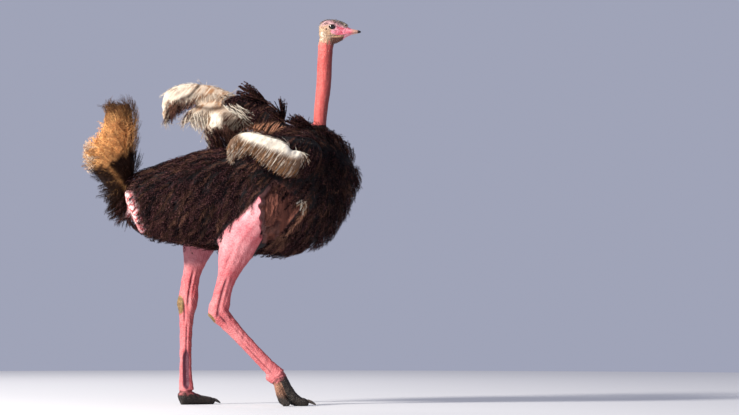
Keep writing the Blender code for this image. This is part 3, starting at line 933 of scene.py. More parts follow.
def darts(points, triangles, normals, spacing, seed):
    """Places no nearer to each other than the spacing, with the surface normal at each."""
    area = spread(points, triangles, 10, seed)[2]
    spots, chosen, _ = spread(points, triangles, int(area / spacing**2 * 3.2), seed)
    cells = np.floor(spots / spacing).astype(int)
    taken, kept = {}, []
    around = [(x, y, z) for x in (-1, 0, 1) for y in (-1, 0, 1) for z in (-1, 0, 1)]
    for number, (spot, cell) in enumerate(zip(spots, cells)):
        near = (taken.get((cell[0] + x, cell[1] + y, cell[2] + z)) for x, y, z in around)
        if all(other is None or ((spot - other) ** 2).sum() > spacing**2 for other in near):
            taken[tuple(cell)] = spot
            kept.append(number)
    return spots[kept], unit(normals[triangles[chosen[kept]]].mean(1))


def darts_on(obj, spacing, seed, chosen=None):
    """Roots over an object's mesh, or over the triangles whose corners are all chosen."""
    points, triangles, normals = points_of(obj.data), triangles_of(obj.data), normals_of(obj.data)
    if chosen is not None:
        triangles = triangles[chosen(points)[triangles].all(axis=1)]
    return darts(points, triangles, normals, spacing, seed)


# %% How each plume is turned
def turned(rng, normals, lie, lift, sideways, jitter, roll):
    """Each plume's lift off the coat, and its axes: along the quill, across it and out of its face."""
    count = len(normals)
    lift = np.radians(np.broadcast_to(lift, count) + rng.normal(0, 4, count))
    against = ramp(-(unit(lie) * normals).sum(1, keepdims=True), 0.7, 0.95)
    lie = lie * (1 - against) + (lie * (0.5, 0.3, 0) + np.array([0, 0, 0.9])) * against
    flat = unit((lie - normals * (lie * normals).sum(1, keepdims=True)) * (1, sideways, 1))
    yaw = np.radians(rng.normal(0, jitter, count))[:, None]
    flat = flat * np.cos(yaw) + np.cross(normals, flat) * np.sin(yaw)
    along = flat * np.cos(lift)[:, None] + normals * np.sin(lift)[:, None]
    face = normals * np.cos(lift)[:, None] - flat * np.sin(lift)[:, None]
    roll = np.radians(rng.normal(0, roll, count))[:, None]
    side = np.cross(face, along)
    face, side = face * np.cos(roll) + side * np.sin(roll), side * np.cos(roll) - face * np.sin(roll)
    return lift, along, side, face


def on_map(spots):
    """Where each plume's patch lies on the flat map: round the body by angle and along it by length."""
    turn = np.arctan2(spots[:, 1], spots[:, 2] - spots[:, 2].mean()) / (2 * math.pi) + 0.5
    share = (spots[:, 0] - spots[:, 0].min()) / np.ptp(spots[:, 0])
    return np.stack([turn, share], 1) * (1 - 2 * PATCH) + PATCH


# %% Many plumes as one mesh
def plant(name, spots, normals, lie, length, kinds, seed, lift=18, sink=None, bend=0.25, droop=0.0,
          jitter=12, tone=None, shade=0.0, sideways=1.0, spray=0.18, roll=16):
    """Copies of some plumes at their roots, lying along the coat, as one mesh with its layers and map."""
    rng = np.random.default_rng(seed)
    count = len(spots)
    length = np.broadcast_to(length, count) * rng.uniform(0.8, 1.2, count)
    lie = np.broadcast_to(lie, spots.shape)
    lift, along, side, face = turned(rng, normals, lie, lift, sideways, jitter, roll)
    depth = length * np.sin(lift) if sink is None else np.broadcast_to(sink, count)
    roots = spots - normals * depth[:, None]
    bend = length**2 / (2 * np.broadcast_to(bend, count))
    drop = np.broadcast_to(droop, count) * length
    tone = rng.uniform(0, 1, count) if tone is None else np.clip(tone + rng.normal(0, spray, count), 0, 1)
    shade = np.clip(np.broadcast_to(shade, count) + rng.normal(0, 0.07, count), 0, 1)
    kind = rng.integers(len(kinds), size=count)
    homes = on_map(spots)
    parts, layers = [], {"tone": [], "shade": [], "tip": [], "map": []}
    for number, (points, faces, tips) in enumerate(kinds):
        these = np.flatnonzero(kind == number)
        if len(these) == 0:
            continue
        x, y, z = (points[:, axis][None, :, None] for axis in range(3))
        size = length[these][:, None, None]
        placed = roots[these][:, None] + size * (x * along[these][:, None] + y * side[these][:, None])
        bowed = bend[these][:, None, None] * normals[these][:, None]
        placed += size * z * face[these][:, None] - (x**2) * bowed
        placed[:, :, 2] -= (tips**2)[None] * drop[these][:, None]
        starts = np.arange(len(these))[:, None, None] * len(points)
        parts.append((placed.reshape(-1, 3), (faces[None] + starts).reshape(-1, 3)))
        layers["tone"].append(np.repeat(tone[these], len(points)))
        layers["shade"].append(np.repeat(shade[these], len(points)))
        layers["tip"].append(np.tile(tips, len(these)))
        patch = np.stack([points[:, 0] - 0.5, points[:, 1] * 0.5], 1) * PATCH
        layers["map"].append((homes[these][:, None] + patch[None]).reshape(-1, 2))
    points, triangles = joined(parts)
    points[:, 2] = np.maximum(points[:, 2], 0.002)
    obj = object_from(name, points, triangles)
    mark(obj, **{layer: np.concatenate(layers[layer]) for layer in ("tone", "shade", "tip")})
    corners = np.concatenate(layers["map"])[triangles.ravel()].astype(np.float32)
    obj.data.uv_layers.new(name="OFBake").uv.foreach_set("vector", corners.ravel())
    return obj


# %% [markdown]
# ## Three plumage finishes
#
# The black plumes are near black, with pale brown specks near the strands' ends that are painted highlights.
# The white ones are cream with darker ends and brown zones. The tail is tawny. One helper mixes from a
# dark colour to a pale one, lets each plume differ a little, and turns to a third colour in the shaded
# zones: on the black plumes that is their own brown, on the cream plumes it is mostly painted shade,
# and on the tail it is black undertail plumes and painted shade.


# %% Plumage finishes
def plumage(name, dark, pale, shaded, tip_gain, roughness, shine, contrast, grain=38, painted_highlight=None):
    """From dark to pale along each strand and from plume to plume, and towards the shaded colour. A
    painted highlight, where one is given, is the colour of specks near the strands' ends."""
    finish = Finish(name, Roughness=roughness, Specular_IOR_Level=shine)
    tone, tip, shade = (finish.layer(layer) for layer in ("tone", "tip", "shade"))
    share = (tone * (1 - tip_gain) + tip * tip_gain) * (0.65 + 0.7 * finish.mottle(grain))
    colour = finish.mix(share.above(0.05, 0.90) ** contrast, dark, pale)
    # Painted highlights: pale specks near the strands' ends.
    if painted_highlight:
        colour = finish.mix(finish.mottle(170).above(0.54, 0.68) * tip * share.above(0.1, 0.5), colour, painted_highlight)
    finish.give(Base_Color=finish.mix(shade, colour, shaded))
    return finish.material


# The black plumes' pale specks near their ends are painted highlights; their shaded colour is their own
# brown.
BLACK = plumage("black_plumage", tint(0.0012, 0.0007, 0.0014), tint(0.060, 0.020, 0.022),
                tint(0.58, 0.28, 0.170), tip_gain=0.50, roughness=0.75, shine=0.04, contrast=6.5,
                grain=110, painted_highlight=tint(0.27, 0.115, 0.120))
CREAM = plumage("white_plumage", tint(0.30, 0.135, 0.050), tint(0.98, 0.91, 0.77),
                tint(0.035, 0.014, 0.008), tip_gain=-0.10, roughness=0.66, shine=0.15, contrast=0.80)
TAWNY = plumage("brown_plumage", tint(0.11, 0.034, 0.012), tint(0.95, 0.50, 0.19),
                tint(0.018, 0.007, 0.004), tip_gain=0.30, roughness=0.60, shine=0.08, contrast=1.2)
print("plumage finishes:", BLACK.name, CREAM.name, TAWNY.name)

# %% [markdown]
# ## The black coat
#
# On a grown male the body plumes hang back and down in shaggy rows, lie closer on the back, and
# curl at the breast. Nothing grows on the flank in front of each thigh, on the drumsticks or in
# the strip under the tail, so roots that fall there are dropped. Over the thigh the plumes end
# in a ragged slanting edge.

# %% Where the body plumes grow
BACKWARD_DOWN = np.array([-0.50, 0.0, -0.87])
BREAST_LINE = place("breast", 0.42, 0, 0)[0]
print("curled plumes ahead of:", round(float(BREAST_LINE), 3))


def feathered(points):
    """True where the body carries plumes, thighs and upper wings apart."""
    legs = np.min([distance_to(node, points) for node in BARE_NODES[:4]], axis=0)
    on_leg = legs < np.minimum(distance_to("trunk", points), distance_to("breast", points)) - 0.001
    on_neck = distance_to("neck_lower", points) < 0.012
    return ~on_leg & ~on_neck & ~bare_flank(points) & (vent(points - (0.022, 0, 0.022), 0.052) < 0.5)


def body_lie(normals):
    """Back and down on the sides, straight back on top."""
    level = np.abs(normals[:, 2:3]) ** 2 * (normals[:, 2:3] > 0)
    return BACKWARD_DOWN * (1 - level) + np.array([-1.0, 0, -0.05]) * level


def browned(spots):
    """Brown lobes behind the breast, along the front of the bare flank."""
    edge = np.exp(-((near_line(spots - (0.03, 0, 0), FLANK[3], FLANK[5]) / 0.034) ** 2))
    return edge * (spots[:, 0] > FLANK_MIDDLE) * ramp(ripples(spots, 0.03, 29), -0.8, 1.2) * 0.36


# %% Body plumes in three lengths of the body
REAR, MIDDLE = (place("trunk", share, 0, 0)[0] for share in (0.34, 0.68))


def body_zone(name, start, end, spacing, kinds, **form):
    """The body plumes between two places along the bird."""
    spots, normals = darts_on(FORM, spacing, form["seed"])
    within = (spots[:, 0] >= start) & (spots[:, 0] < end)
    spots, normals = only(within, spots, normals)
    spots, normals = only(feathered(spots) & (on_arm(spots) < 0.5), spots, normals)
    tip = 1 - between(spots, "trunk", ALONG, 0.02, 0.16)
    form["length"] = form["length"] * (1 - 0.38 * tip)
    obj = plant(name, spots, normals, body_lie(normals), kinds=kinds, shade=browned(spots), **form)
    return finished(obj, BLACK, "black_plumage")


body_zone("coat_rear", -9, REAR, 0.0205, BODY_PLUMES, length=0.12, lift=19, seed=21)
body_zone("coat_middle", REAR, MIDDLE, 0.0205, BODY_PLUMES, length=0.12, lift=19, seed=22)
body_zone("coat_fore", MIDDLE, BREAST_LINE, 0.0195, BODY_PLUMES, length=0.11, lift=20, seed=23)
body_zone("coat_breast", BREAST_LINE, 9, 0.0165, CURLED_PLUMES, length=0.085, lift=33, sink=0.034,
          bend=0.22, jitter=26, tone=0.38, spray=0.28, seed=24)


# %% Plumes over the thighs and at the flank's corner
def thigh_fringe():
    """Plumes that hang over the top of each thigh, down to the slanting edge."""
    spots, normals = darts_on(SKIN, spacing=0.0135, seed=26, chosen=lambda points: under_plumes(points) > 0.4)
    legs = np.min([distance_to(node, spots) for node in BARE_NODES[:4]], axis=0)
    spots, normals = only(legs < 0.02, spots, normals)
    obj = plant("coat_thighs", spots, normals, lie=body_lie(normals), length=0.066, kinds=BODY_PLUMES,
                seed=27, lift=15, sink=0.002, bend=0.16)
    return finished(obj, BLACK, "black_plumage")


def flank_tuft():
    """A small pale and brown tuft at the front corner of each bare flank."""
    spots, normals = darts_on(FORM, spacing=0.010, seed=38)
    corner = np.linalg.norm(spots[:, [0, 2]] - FLANK[3] - (0.004, 0.010), axis=1)
    keep = (corner < 0.022) & (np.abs(spots[:, 1]) > 0.12)
    obj = plant("flank_tuft", *only(keep, spots, normals), lie=(-0.45, 0.0, -0.9), length=0.042,
                kinds=CURLED_PLUMES, seed=39, lift=26, sink=0.006, jitter=30, tone=0.35, shade=0.45,
                spray=0.3)
    return finished(obj, CREAM, "white_plumage")


thigh_fringe()
flank_tuft()


# %% Coverts of the upper wings
# Squeezes space along the strands, so that streaks run with them.
STREAK_TURN = np.array([[0.8, 0.0, -0.05], [0.0, 0.3, 0.0], [-0.6, 0.0, -0.05]])


def streaks_in(points, size, seed, low, high):
    """Streaks that run with the strands of a wing, 0 to 1."""
    return ramp(ripples(points @ STREAK_TURN, size, seed), low, high)


def coverts(side, sign):
    """Lapped coverts of an upper wing. The lowest hang long and close the gap under it."""
    spots, normals = darts_on(FORM, spacing=0.0150, seed=25)
    spots, normals = only((on_arm(spots) > 0.4) & (spots[:, 1] * sign > 0), spots, normals)
    node = "wing_arm_" + side
    share = share_of(node, spots)
    low, rear = 1 - ramp(share[:, 2], 0.25, 0.6), 1 - ramp(share[:, 0], 0.15, 0.5)
    length = 0.090 + 0.055 * low * rear
    obj = plant(f"coverts_{side}", spots, normals, lie=body_lie(normals), length=length,
                kinds=COVERT_PLUMES, seed=28, lift=8, sink=0.010, bend=0.14, jitter=10, sideways=0.6)
    if side == "left":
        edging = (from_side(node, 0.26, 0.44), from_side(node, 0.66, 0.47))
        corners = points_of(obj.data)
        streaks = streaks_in(corners, 0.010, 40, -1.1, 0.8)
        band = np.exp(-((near_line(corners, *edging) / 0.028) ** 4)) * streaks
        ridge = np.exp(-((near_line(corners, ARM_EDGE[2], ARM_EDGE[4]) / 0.030) ** 2)) * streaks
        retouched(obj, shade=1.0 * band + 0.25 * ridge)
    return finished(obj, BLACK, "black_plumage")


coverts("left", 1)
coverts("right", -1)


# %% Raised plumes
def raised(name, near, reach, lie, length, lift, seed):
    """A sheaf of long plumes that stands up from the top of the coat about one place."""
    spots, normals = darts_on(FORM, 0.0085, seed)
    away = np.linalg.norm((spots - near)[:, [0, 2]], axis=1)
    keep = (away < reach) & (spots[:, 1] >= 0) & (normals[:, 2] > 0.3)
    obj = plant(name, *only(keep, spots, normals), lie=lie, length=length, kinds=SPIKE_PLUMES, seed=seed,
                lift=lift, sink=0.012, bend=0.6, jitter=6, sideways=0.3)
    return finished(obj, BLACK, "black_plumage")


raised("raised_high", place("wing_arm_left", 0.50, 0.5, 0.90), reach=0.030, lie=(-0.95, 0, 0.30),
       length=0.155, lift=16, seed=33)
raised("raised_low", place("wing_arm_left", 0.70, 0.5, 0.62), reach=0.026, lie=(-0.90, 0, 0.50),
       length=0.105, lift=32, seed=34)
raised("raised_back", place("breast", 0.24, 0.5, 0.98), reach=0.036, lie=(-0.9, 0, 0.45),
       length=0.095, lift=38, seed=35)


# %% Plumes under the far wing
def under_wing():
    """Black plumes that hang from the root of the far wing and close the gap above the back."""
    node = "wing_arm_left"
    spots, normals = darts_on(FORM, spacing=0.010, seed=36)
    share = share_of(node, spots)
    keep = (on_arm(spots) > 0.5) & (share[:, 0] < 0.26) & (share[:, 2] > 0.30) & (spots[:, 1] > 0)
    keep &= (normals[:, 2] < 0.3) & (share[:, 2] < 0.75)
    obj = plant("under_wing", *only(keep, spots, normals), lie=(-0.42, 0.0, -0.9), length=0.150,
                kinds=BODY_PLUMES, seed=37, lift=6, sink=0.012, bend=0.5, jitter=12, sideways=0.3)
    return finished(obj, BLACK, "black_plumage")


def wing_fill():
    """Black plumes that stand up from the far side of the back, under the far wing."""
    spots, normals = darts_on(FORM, spacing=0.0105, seed=42)
    start, end = place("wing_arm_left", -0.08, 0, 0)[0], place("wing_arm_left", 0.22, 0, 0)[0]
    keep = (spots[:, 0] > start) & (spots[:, 0] < end) & (spots[:, 1] > 0.04) & (normals[:, 2] > 0.35)
    keep &= on_arm(spots) < 0.5
    obj = plant("wing_fill", *only(keep, spots, normals), lie=(-1.0, 0.0, 0.0), length=0.140,
                kinds=BODY_PLUMES, seed=43, lift=74, sink=0.012, bend=0.5, jitter=14, sideways=0.3,
                tone=0.4)
    return finished(obj, BLACK, "black_plumage")


under_wing()
wing_fill()

# %% [markdown]
# ## Neck ruff, wings and tail
#
# Where the neck comes out of the coat the plumes stand up in short ragged tufts. The wings carry
# long cream plumes over a thin bed of down, and the tail is a fan of tawny ones that spread from
# its root. A bed of down inside each keeps the light from falling straight through.

# %% Ruff round the neck
NECK_FOOT = place("neck_lower", 0.5, 0.5, 0.62)


def tufts_at_neck():
    """Short tufts that stand away from the neck's foot, longest behind it."""
    spots, normals = darts_on(FORM, spacing=0.0145, seed=31)
    outward = spots - NECK_FOOT
    outward[:, 2] = 0
    away = np.linalg.norm(outward, axis=1)
    near = (away < 0.125) & (spots[:, 2] > NECK_FOOT[2] - 0.09) & (distance_to("neck_lower", spots) > 0.002)
    near &= ~((distance_to("breast", spots) > 0.012) & (distance_to("trunk", spots) > 0.012))
    behind = ramp(-unit(outward[near])[:, 0], 0.2, 0.8)
    lie = unit(outward[near]) + np.array([-0.45, 0, 0.35])
    obj = plant("neck_ruff", *only(near, spots, normals), lie=lie, length=0.070 + 0.035 * behind,
                kinds=SPIKE_PLUMES + CURLED_PLUMES, seed=32, lift=30 + 8 * behind, sink=0.020, bend=0.35,
                jitter=24)
    return finished(obj, BLACK, "black_plumage")


tufts_at_neck()


# %% A bed of down under long plumes
def bed_of_down(node, depth, cell, material, slot, shade=0.75):
    """A solid drawn in by a depth, as its own soft piece."""
    form = fused(node + "_form", [grown(solid(node), 0.0005)], cell, rounds=3)
    offsets = -depth + ripples(points_of(form.data), 0.03, 41) * 0.002
    down = drawn_in(node + "_down", form, offsets, cell, rounds=2)
    mark(down, tone=0.3, shade=shade, tip=0.0)
    finished(down, material, slot, node)
    return form


# %% Cream plumes of the near wing
WING = {side: bed_of_down(f"wing_plumes_{side}", depth=0.010, cell=0.007, material=CREAM,
                          slot="white_plumage", shade=0.35) for side in ("left", "right")}


def near_wing():
    """Combed strands that droop back from a smooth bright crest, with a white tuft at the wrist."""
    node = "wing_plumes_right"
    spots, normals = darts_on(WING["right"], spacing=0.0100, seed=51)
    share = share_of(node, spots)
    wrist, tail = ramp(share[:, 0], 0.80, 0.92), 1 - ramp(share[:, 0], 0.05, 0.28)
    crest = from_side(node, 0.28, 0.97), from_side(node, 0.86, 0.62)
    low = ramp(near_line(spots, *crest), 0.03, 0.10)
    wrist, front = wrist * ramp(share[:, 2], 0.42, 0.58), wrist * (1 - ramp(share[:, 2], 0.30, 0.50))
    lie = np.array([-0.60, 0.0, -0.80]) + np.outer(tail, (0.86, 0, -0.1)) + np.outer(wrist, (1.1, 0, 0.5))
    lie -= np.outer(front, (0.35, 0, 0))
    length = 0.058 + 0.028 * low - 0.012 * wrist - 0.032 * front - 0.034 * tail
    hem = np.interp(share[:, 0] - 0.10, (0, 0.17, 0.21, 0.28, 0.36, 0.55, 0.70, 0.81, 0.90, 1.0),
                    (0.33, 0.31, 0.52, 0.50, 0.38, 0.20, 0.08, -0.04, 0.0, 0.45))
    free = (spots[:, 2] - place(node, 0, 0, 0)[2] - hem * np.ptp(BOXES[node], axis=0)[2]) / 0.80 + 0.010
    length = np.clip(free, 0.022, length)
    upright = np.abs((unit(lie) * normals).sum(1)) > 0.90
    spots, normals, lie, length, low = only((free > 0.0) & ~upright, spots, normals, lie, length, low)
    obj = plant("plumes_right", spots, normals, lie=lie, length=length, kinds=STRAND_PLUMES, seed=52,
                lift=5 + 5 * low, bend=0.12, droop=0.04, jitter=5, tone=0.5, sideways=0.3,
                sink=0.008 + 0.004 * low, spray=0.10, roll=6)
    corners = points_of(obj.data)
    below = ramp(near_line(corners, *crest), 0.030, 0.075)
    ends = between(corners, node, ALONG, 0.80, 0.90)
    ends = ends * between(corners, node, UP, 0.40, 0.56)
    below = below * (1 - ends)
    streaks = streaks_in(corners, 0.0090, 57, -0.3, 1.1)
    golden = streaks_in(corners, 0.0130, 60, -1.0, 1.0)
    hollow = from_side(node, 0.235, 0.50)
    hollow = np.exp(-((np.linalg.norm((corners[:, [0, 2]] - hollow) / (0.040, 0.026), axis=1)) ** 4))
    # Painted shade: dark streaks between the lower strands, and a dark patch in the hollow near the wing's
    # rear end.
    shade = np.maximum(0.60 * below * ramp(streaks, 0.25, 0.9), 0.9 * hollow * ramp(streaks, 0.1, 0.5))
    retouched(obj, tone=0.5 - (0.55 + 0.4 * golden) * below, shade=shade)
    down = bpy.data.objects[node + "_down"]
    # The down is painted darker below the crest, as painted shade, and tanner.
    low = ramp(near_line(points_of(down.data), *crest), 0.03, 0.075)
    mark(down, shade=0.08 + 0.66 * low, tone=0.70 - 0.60 * low)
    return finished(obj, CREAM, "white_plumage")


near_wing()


# %% Colours of the far wing
def far_wing_colours(points):
    """Tone and shade: painted shade along the seams between the fans, in streaks low down and near black
    towards the body, and the white tuft.
    """
    node = "wing_plumes_left"
    share = share_of(node, points)
    tuft = from_side(node, 0.625, 0.40)
    white = np.exp(-((np.linalg.norm(points[:, [0, 2]] - tuft, axis=1) / 0.046) ** 4))
    # The seams where the fans meet are painted shade.
    seams = [((0.475, 0.97), (0.42, 0.89)), ((0.42, 0.89), (0.34, 0.77)), ((0.34, 0.77), (0.26, 0.72)),
             ((0.40, 0.61), (0.60, 0.57)), ((0.60, 0.57), (0.88, 0.62))]
    reach = [near_line(points, *(from_side(node, x, z) for x, z in seam)) for seam in seams]
    seam = np.exp(-((np.min(reach, axis=0) / 0.012) ** 2))
    streaks = streaks_in(points, 0.009, 50, -0.2, 1.3)
    # Painted shade: darker streaks low down, and near black towards the body, where the wing shades the back.
    lower = 1 - ramp(share[:, 2], 0.48, 0.60)
    black = lower * ramp(share[:, 0], 0.69, 0.75) * (0.72 + 0.28 * ramp(streaks, 0.1, 0.6))
    black = np.maximum(black, ramp(share[:, 0], 0.58, 0.64) * (1 - ramp(share[:, 2], 0.22, 0.30)))
    shaded = (0.75 * seam + 0.35 * lower * streaks) * (1 - white)
    second = ramp(share[:, 0], 0.34, 0.44) * (1 - lower)
    tone = 0.66 - 0.14 * lower - 0.20 * second + 0.5 * white - 0.25 * streaks
    return tone, np.maximum(shaded + 0.16 * second * streaks, black)


# %% The fans of the far wing
def far_wing():
    """Two rounded fans from one place on the crest, and a third group that hangs under them."""
    node = "wing_plumes_left"
    spots, normals = darts_on(WING["left"], spacing=0.0114, seed=53)
    share = share_of(node, spots)
    focus = place(node, 0.53, 0, 0.99)
    upper = ramp(share[:, 2], 0.50, 0.64)
    fan = unit((spots - focus - (0, 0, 0.02)) * (1, 0.3, 1))
    inner = ramp(share[:, 0], 0.44, 0.60)
    hang = np.array([-0.60, 0.0, -0.80]) * (1 - inner[:, None]) + np.array([0.05, 0.0, -1.0]) * inner[:, None]
    end = (1 - ramp(share[:, 0], 0.10, 0.32)) * ramp(1 - share[:, 2], 0.05, 0.30)
    lie = fan * upper[:, None] + hang * (1 - upper[:, None])
    lie = lie * (1 - end[:, None]) + np.array([-0.05, 0.0, -1.0]) * end[:, None]
    keep = np.abs((unit(lie) * normals).sum(1)) < 0.90
    spots, normals, lie, share, upper, end, inner = only(keep, spots, normals, lie, share, upper, end, inner)
    length = 0.078 - 0.018 * upper - 0.020 * end - 0.020 * inner * (1 - upper) * (share[:, 2] < 0.25)
    obj = plant("plumes_left", spots, normals, lie=lie, length=length, kinds=STRAND_PLUMES, seed=54, lift=6,
                bend=0.12, droop=0.03, jitter=7, tone=0.5, sideways=0.35, spray=0.10, roll=8,
                sink=0.010 + 0.008 * end)
    tone, shade = far_wing_colours(points_of(obj.data))
    retouched(obj, tone=tone - 0.5, shade=shade)
    down = bpy.data.objects[node + "_down"]
    # The down beneath gets the same painted shade.
    tone, shade = far_wing_colours(points_of(down.data))
    mark(down, tone=tone - 0.15, shade=np.maximum(shade, 0.15))
    return finished(obj, CREAM, "white_plumage")


# %% Strands, brown underside and filaments
def hanging_strands():
    """Pale strands that hang from the fans and fill the corner beside the third group."""
    node = "wing_plumes_left"
    spots, normals = darts_on(WING["left"], spacing=0.0085, seed=47)
    share = share_of(node, spots)
    keep = (share[:, 0] > 0.33) & (share[:, 0] < 0.58) & (share[:, 2] > 0.36) & (share[:, 2] < 0.52)
    length = 0.075 + 0.030 * ramp(share[keep, 0], 0.36, 0.46)
    obj = plant("hanging_strands", *only(keep, spots, normals), lie=(0.16, 0.0, -1.0), length=length,
                kinds=STRAND_PLUMES, seed=48, lift=3, bend=0.4, sink=0.006, jitter=8, tone=0.55, shade=0.12,
                sideways=0.2, spray=0.25)
    return finished(obj, CREAM, "white_plumage")


def fan_shade_plumes():
    """Dark brown plumes with black ragged ends under the outer fan, put there as painted shade of the fan."""
    node = "wing_plumes_left"
    spots, normals = darts_on(WING["left"], spacing=0.0095, seed=58)
    share = share_of(node, spots)
    keep = (share[:, 0] > 0.08) & (share[:, 0] < 0.30 + 0.14 * share[:, 2]) & (share[:, 2] > 0.50)
    keep &= share[:, 2] < 0.74
    spots, normals, share = only(keep, spots - (0, 0.007, 0), normals, share)
    lie = np.outer(1 - ramp(share[:, 0], 0.10, 0.30), (-0.10, 0, 0)) + np.array([0.05, 0.0, -1.0])
    length = 0.052 + 0.012 * (1 - ramp(share[:, 0], 0.12, 0.26)) - 0.010 * ramp(share[:, 0], 0.26, 0.34)
    obj = plant("fan_shade_plumes", spots, normals, lie=lie, length=length, kinds=BODY_PLUMES, seed=59,
                lift=3, bend=0.3, sink=0.010, jitter=12, tone=0.85, sideways=0.2)
    corners = points_of(obj.data)
    # Browner towards the top, as part of that painted shade.
    height = between(corners, node, UP, 0.36, 0.56)
    retouched(obj, shade=0.30 * height * streaks_in(corners, 0.010, 49, -0.8, 1.4))
    return finished(obj, BLACK, "black_plumage")


def filaments():
    """Loose pale strands that trail over the black of the far wing."""
    node = "wing_arm_left"
    spots, normals = darts_on(FORM, spacing=0.009, seed=55)
    share = share_of(node, spots)
    keep = (on_arm(spots) > 0.5) & (share[:, 0] < 0.22) & (share[:, 2] > 0.45) & (share[:, 2] < 0.85)
    keep &= (normals[:, 1] < 0.2) & (spots[:, 1] > 0)
    spots, normals = only(keep, spots, normals)
    obj = plant("filaments", spots + normals * 0.012, normals, lie=(0.72, 0, -0.69), length=0.11,
                kinds=THIN_PLUMES, seed=56, lift=4, bend=0.2, sink=0.0, jitter=12, tone=0.7)
    return finished(obj, CREAM, "white_plumage")


far_wing()
hanging_strands()
fan_shade_plumes()
filaments()


# %% Colours of the tail
TAIL_ROOT = place("trunk", 0.06, 0.5, 0.60)


def tail_colours(points):
    """Shade and tone over the tail: black below a slanting line, partly black undertail plumes and partly
    painted shade, dark brown on top, gold between.
    """
    share = share_of("tail", points)
    line = np.interp(share[:, 0], (0.40, 1.0), (0.415, 0.60))
    below = (line - share[:, 2]) * np.ptp(BOXES["tail"], axis=0)[2] + 0.012 * ripples(points, 0.05, 3)
    tongue = near_line(points, from_side("tail", 0.38, 0.46), from_side("tail", 0.74, 0.24))
    tongue = np.exp(-((tongue / 0.015) ** 2))
    # Below the line the tail is black: partly its black undertail plumes, partly painted shade.
    black = ramp(below, -0.014, 0.014) * (1 - 0.75 * tongue)
    top = between(points + 0.008 * ripples(points, 0.05, 4)[:, None], "tail", UP, 0.72, 0.93)
    front = between(points + 0.008 * ripples(points, 0.05, 6)[:, None], "tail", ALONG, 0.78, 1.02)
    return np.maximum(black, 0.60 * np.maximum(top, front)), 0.95 - 0.95 * top


# %% The tail's fan and wisps
def tail_fan():
    """Plumes that spread from the tail's root, shortest on top and at the waist of its back edge."""
    form = bed_of_down("tail", depth=0.034, cell=0.010, material=TAWNY, slot="brown_plumage")
    down = bpy.data.objects["tail_down"]
    mark(down, shade=tail_colours(points_of(down.data))[0])
    spots, normals = darts_on(form, spacing=0.0202, seed=61)
    bpy.data.objects.remove(form)
    shade, tone = tail_colours(spots)
    lie = unit(spots - TAIL_ROOT) + np.array([-0.35, 0, 0.1])
    high = between(spots, "tail", UP, 0.7, 0.95)
    behind, ahead = ramp(-normals[:, 0], 0.2, 0.8), ramp(normals[:, 0], 0.2, 0.8)
    share = share_of("tail", spots)
    waist = ramp(share[:, 2], 0.56, 0.66) * (1 - ramp(share[:, 2], 0.82, 0.90))
    waist = waist * (1 - ramp(share[:, 0], 0.3, 0.6))
    length = 0.105 - 0.045 * high - 0.007 * waist
    sink = 0.050 - 0.012 * high + 0.018 * behind * (1 - 1.4 * high) - 0.016 * ahead + 0.002 * waist
    obj = plant("tail_plumes", spots, normals, lie=lie, length=length, kinds=TAIL_PLUMES, seed=62, lift=27,
                sink=sink, bend=0.30, droop=0.10, jitter=20, tone=tone, shade=0.4 * shade, spray=0.22)
    corners = points_of(obj.data)
    streaks = ramp(ripples(corners, 0.016, 65), -1.0, 1.0)
    retouched(obj, shade=tail_colours(corners)[0] * (0.74 + 0.26 * streaks))
    return finished(obj, TAWNY, "brown_plumage")


def tail_wisps():
    """Pale loose strands at the back of the tail."""
    spots, normals = darts_on(bpy.data.objects["tail_down"], spacing=0.016, seed=63)
    heart = place("tail", 0.04, 0.5, 0.50)
    keep = np.linalg.norm((spots - heart)[:, [0, 2]], axis=1) < 0.085
    obj = plant("tail_wisps", *only(keep, spots, normals), lie=(-0.85, 0, 0.15), length=0.075,
                kinds=CURLED_PLUMES, seed=64, lift=35, sink=0.0, bend=0.2, jitter=25, tone=0.28)
    return finished(obj, CREAM, "white_plumage")


tail_fan()
tail_wisps()
for form in WING.values():
    bpy.data.objects.remove(form)

# %% [markdown]
# ## Markings of the skin
#
# The skin is coral on the neck, pinker on the legs and dark under the black plumes, as they are. The toes
# and the front of the tarsus are scaly. Painted shade is laid on as well: brown in the hollow of the flank,
# a mauve painted shadow where the body shades the planted leg, dark red on the front edges of legs and neck
# and on the front of each tarsus, dark in the furrows of the legs, in the ear, under the jaw and on the
# throat's brown, and a dark painted shadow in a strip below each thigh. Each marking is a number on the
# vertices, worked out from how near the solids, the eye or an outline on the bird are.

# %% Which part of the bird each piece of skin belongs to
# Between these heights the planted leg passes into the body's shadow, which is painted on its skin in mauve.
CAST_HEIGHTS = (0.800, 0.825)


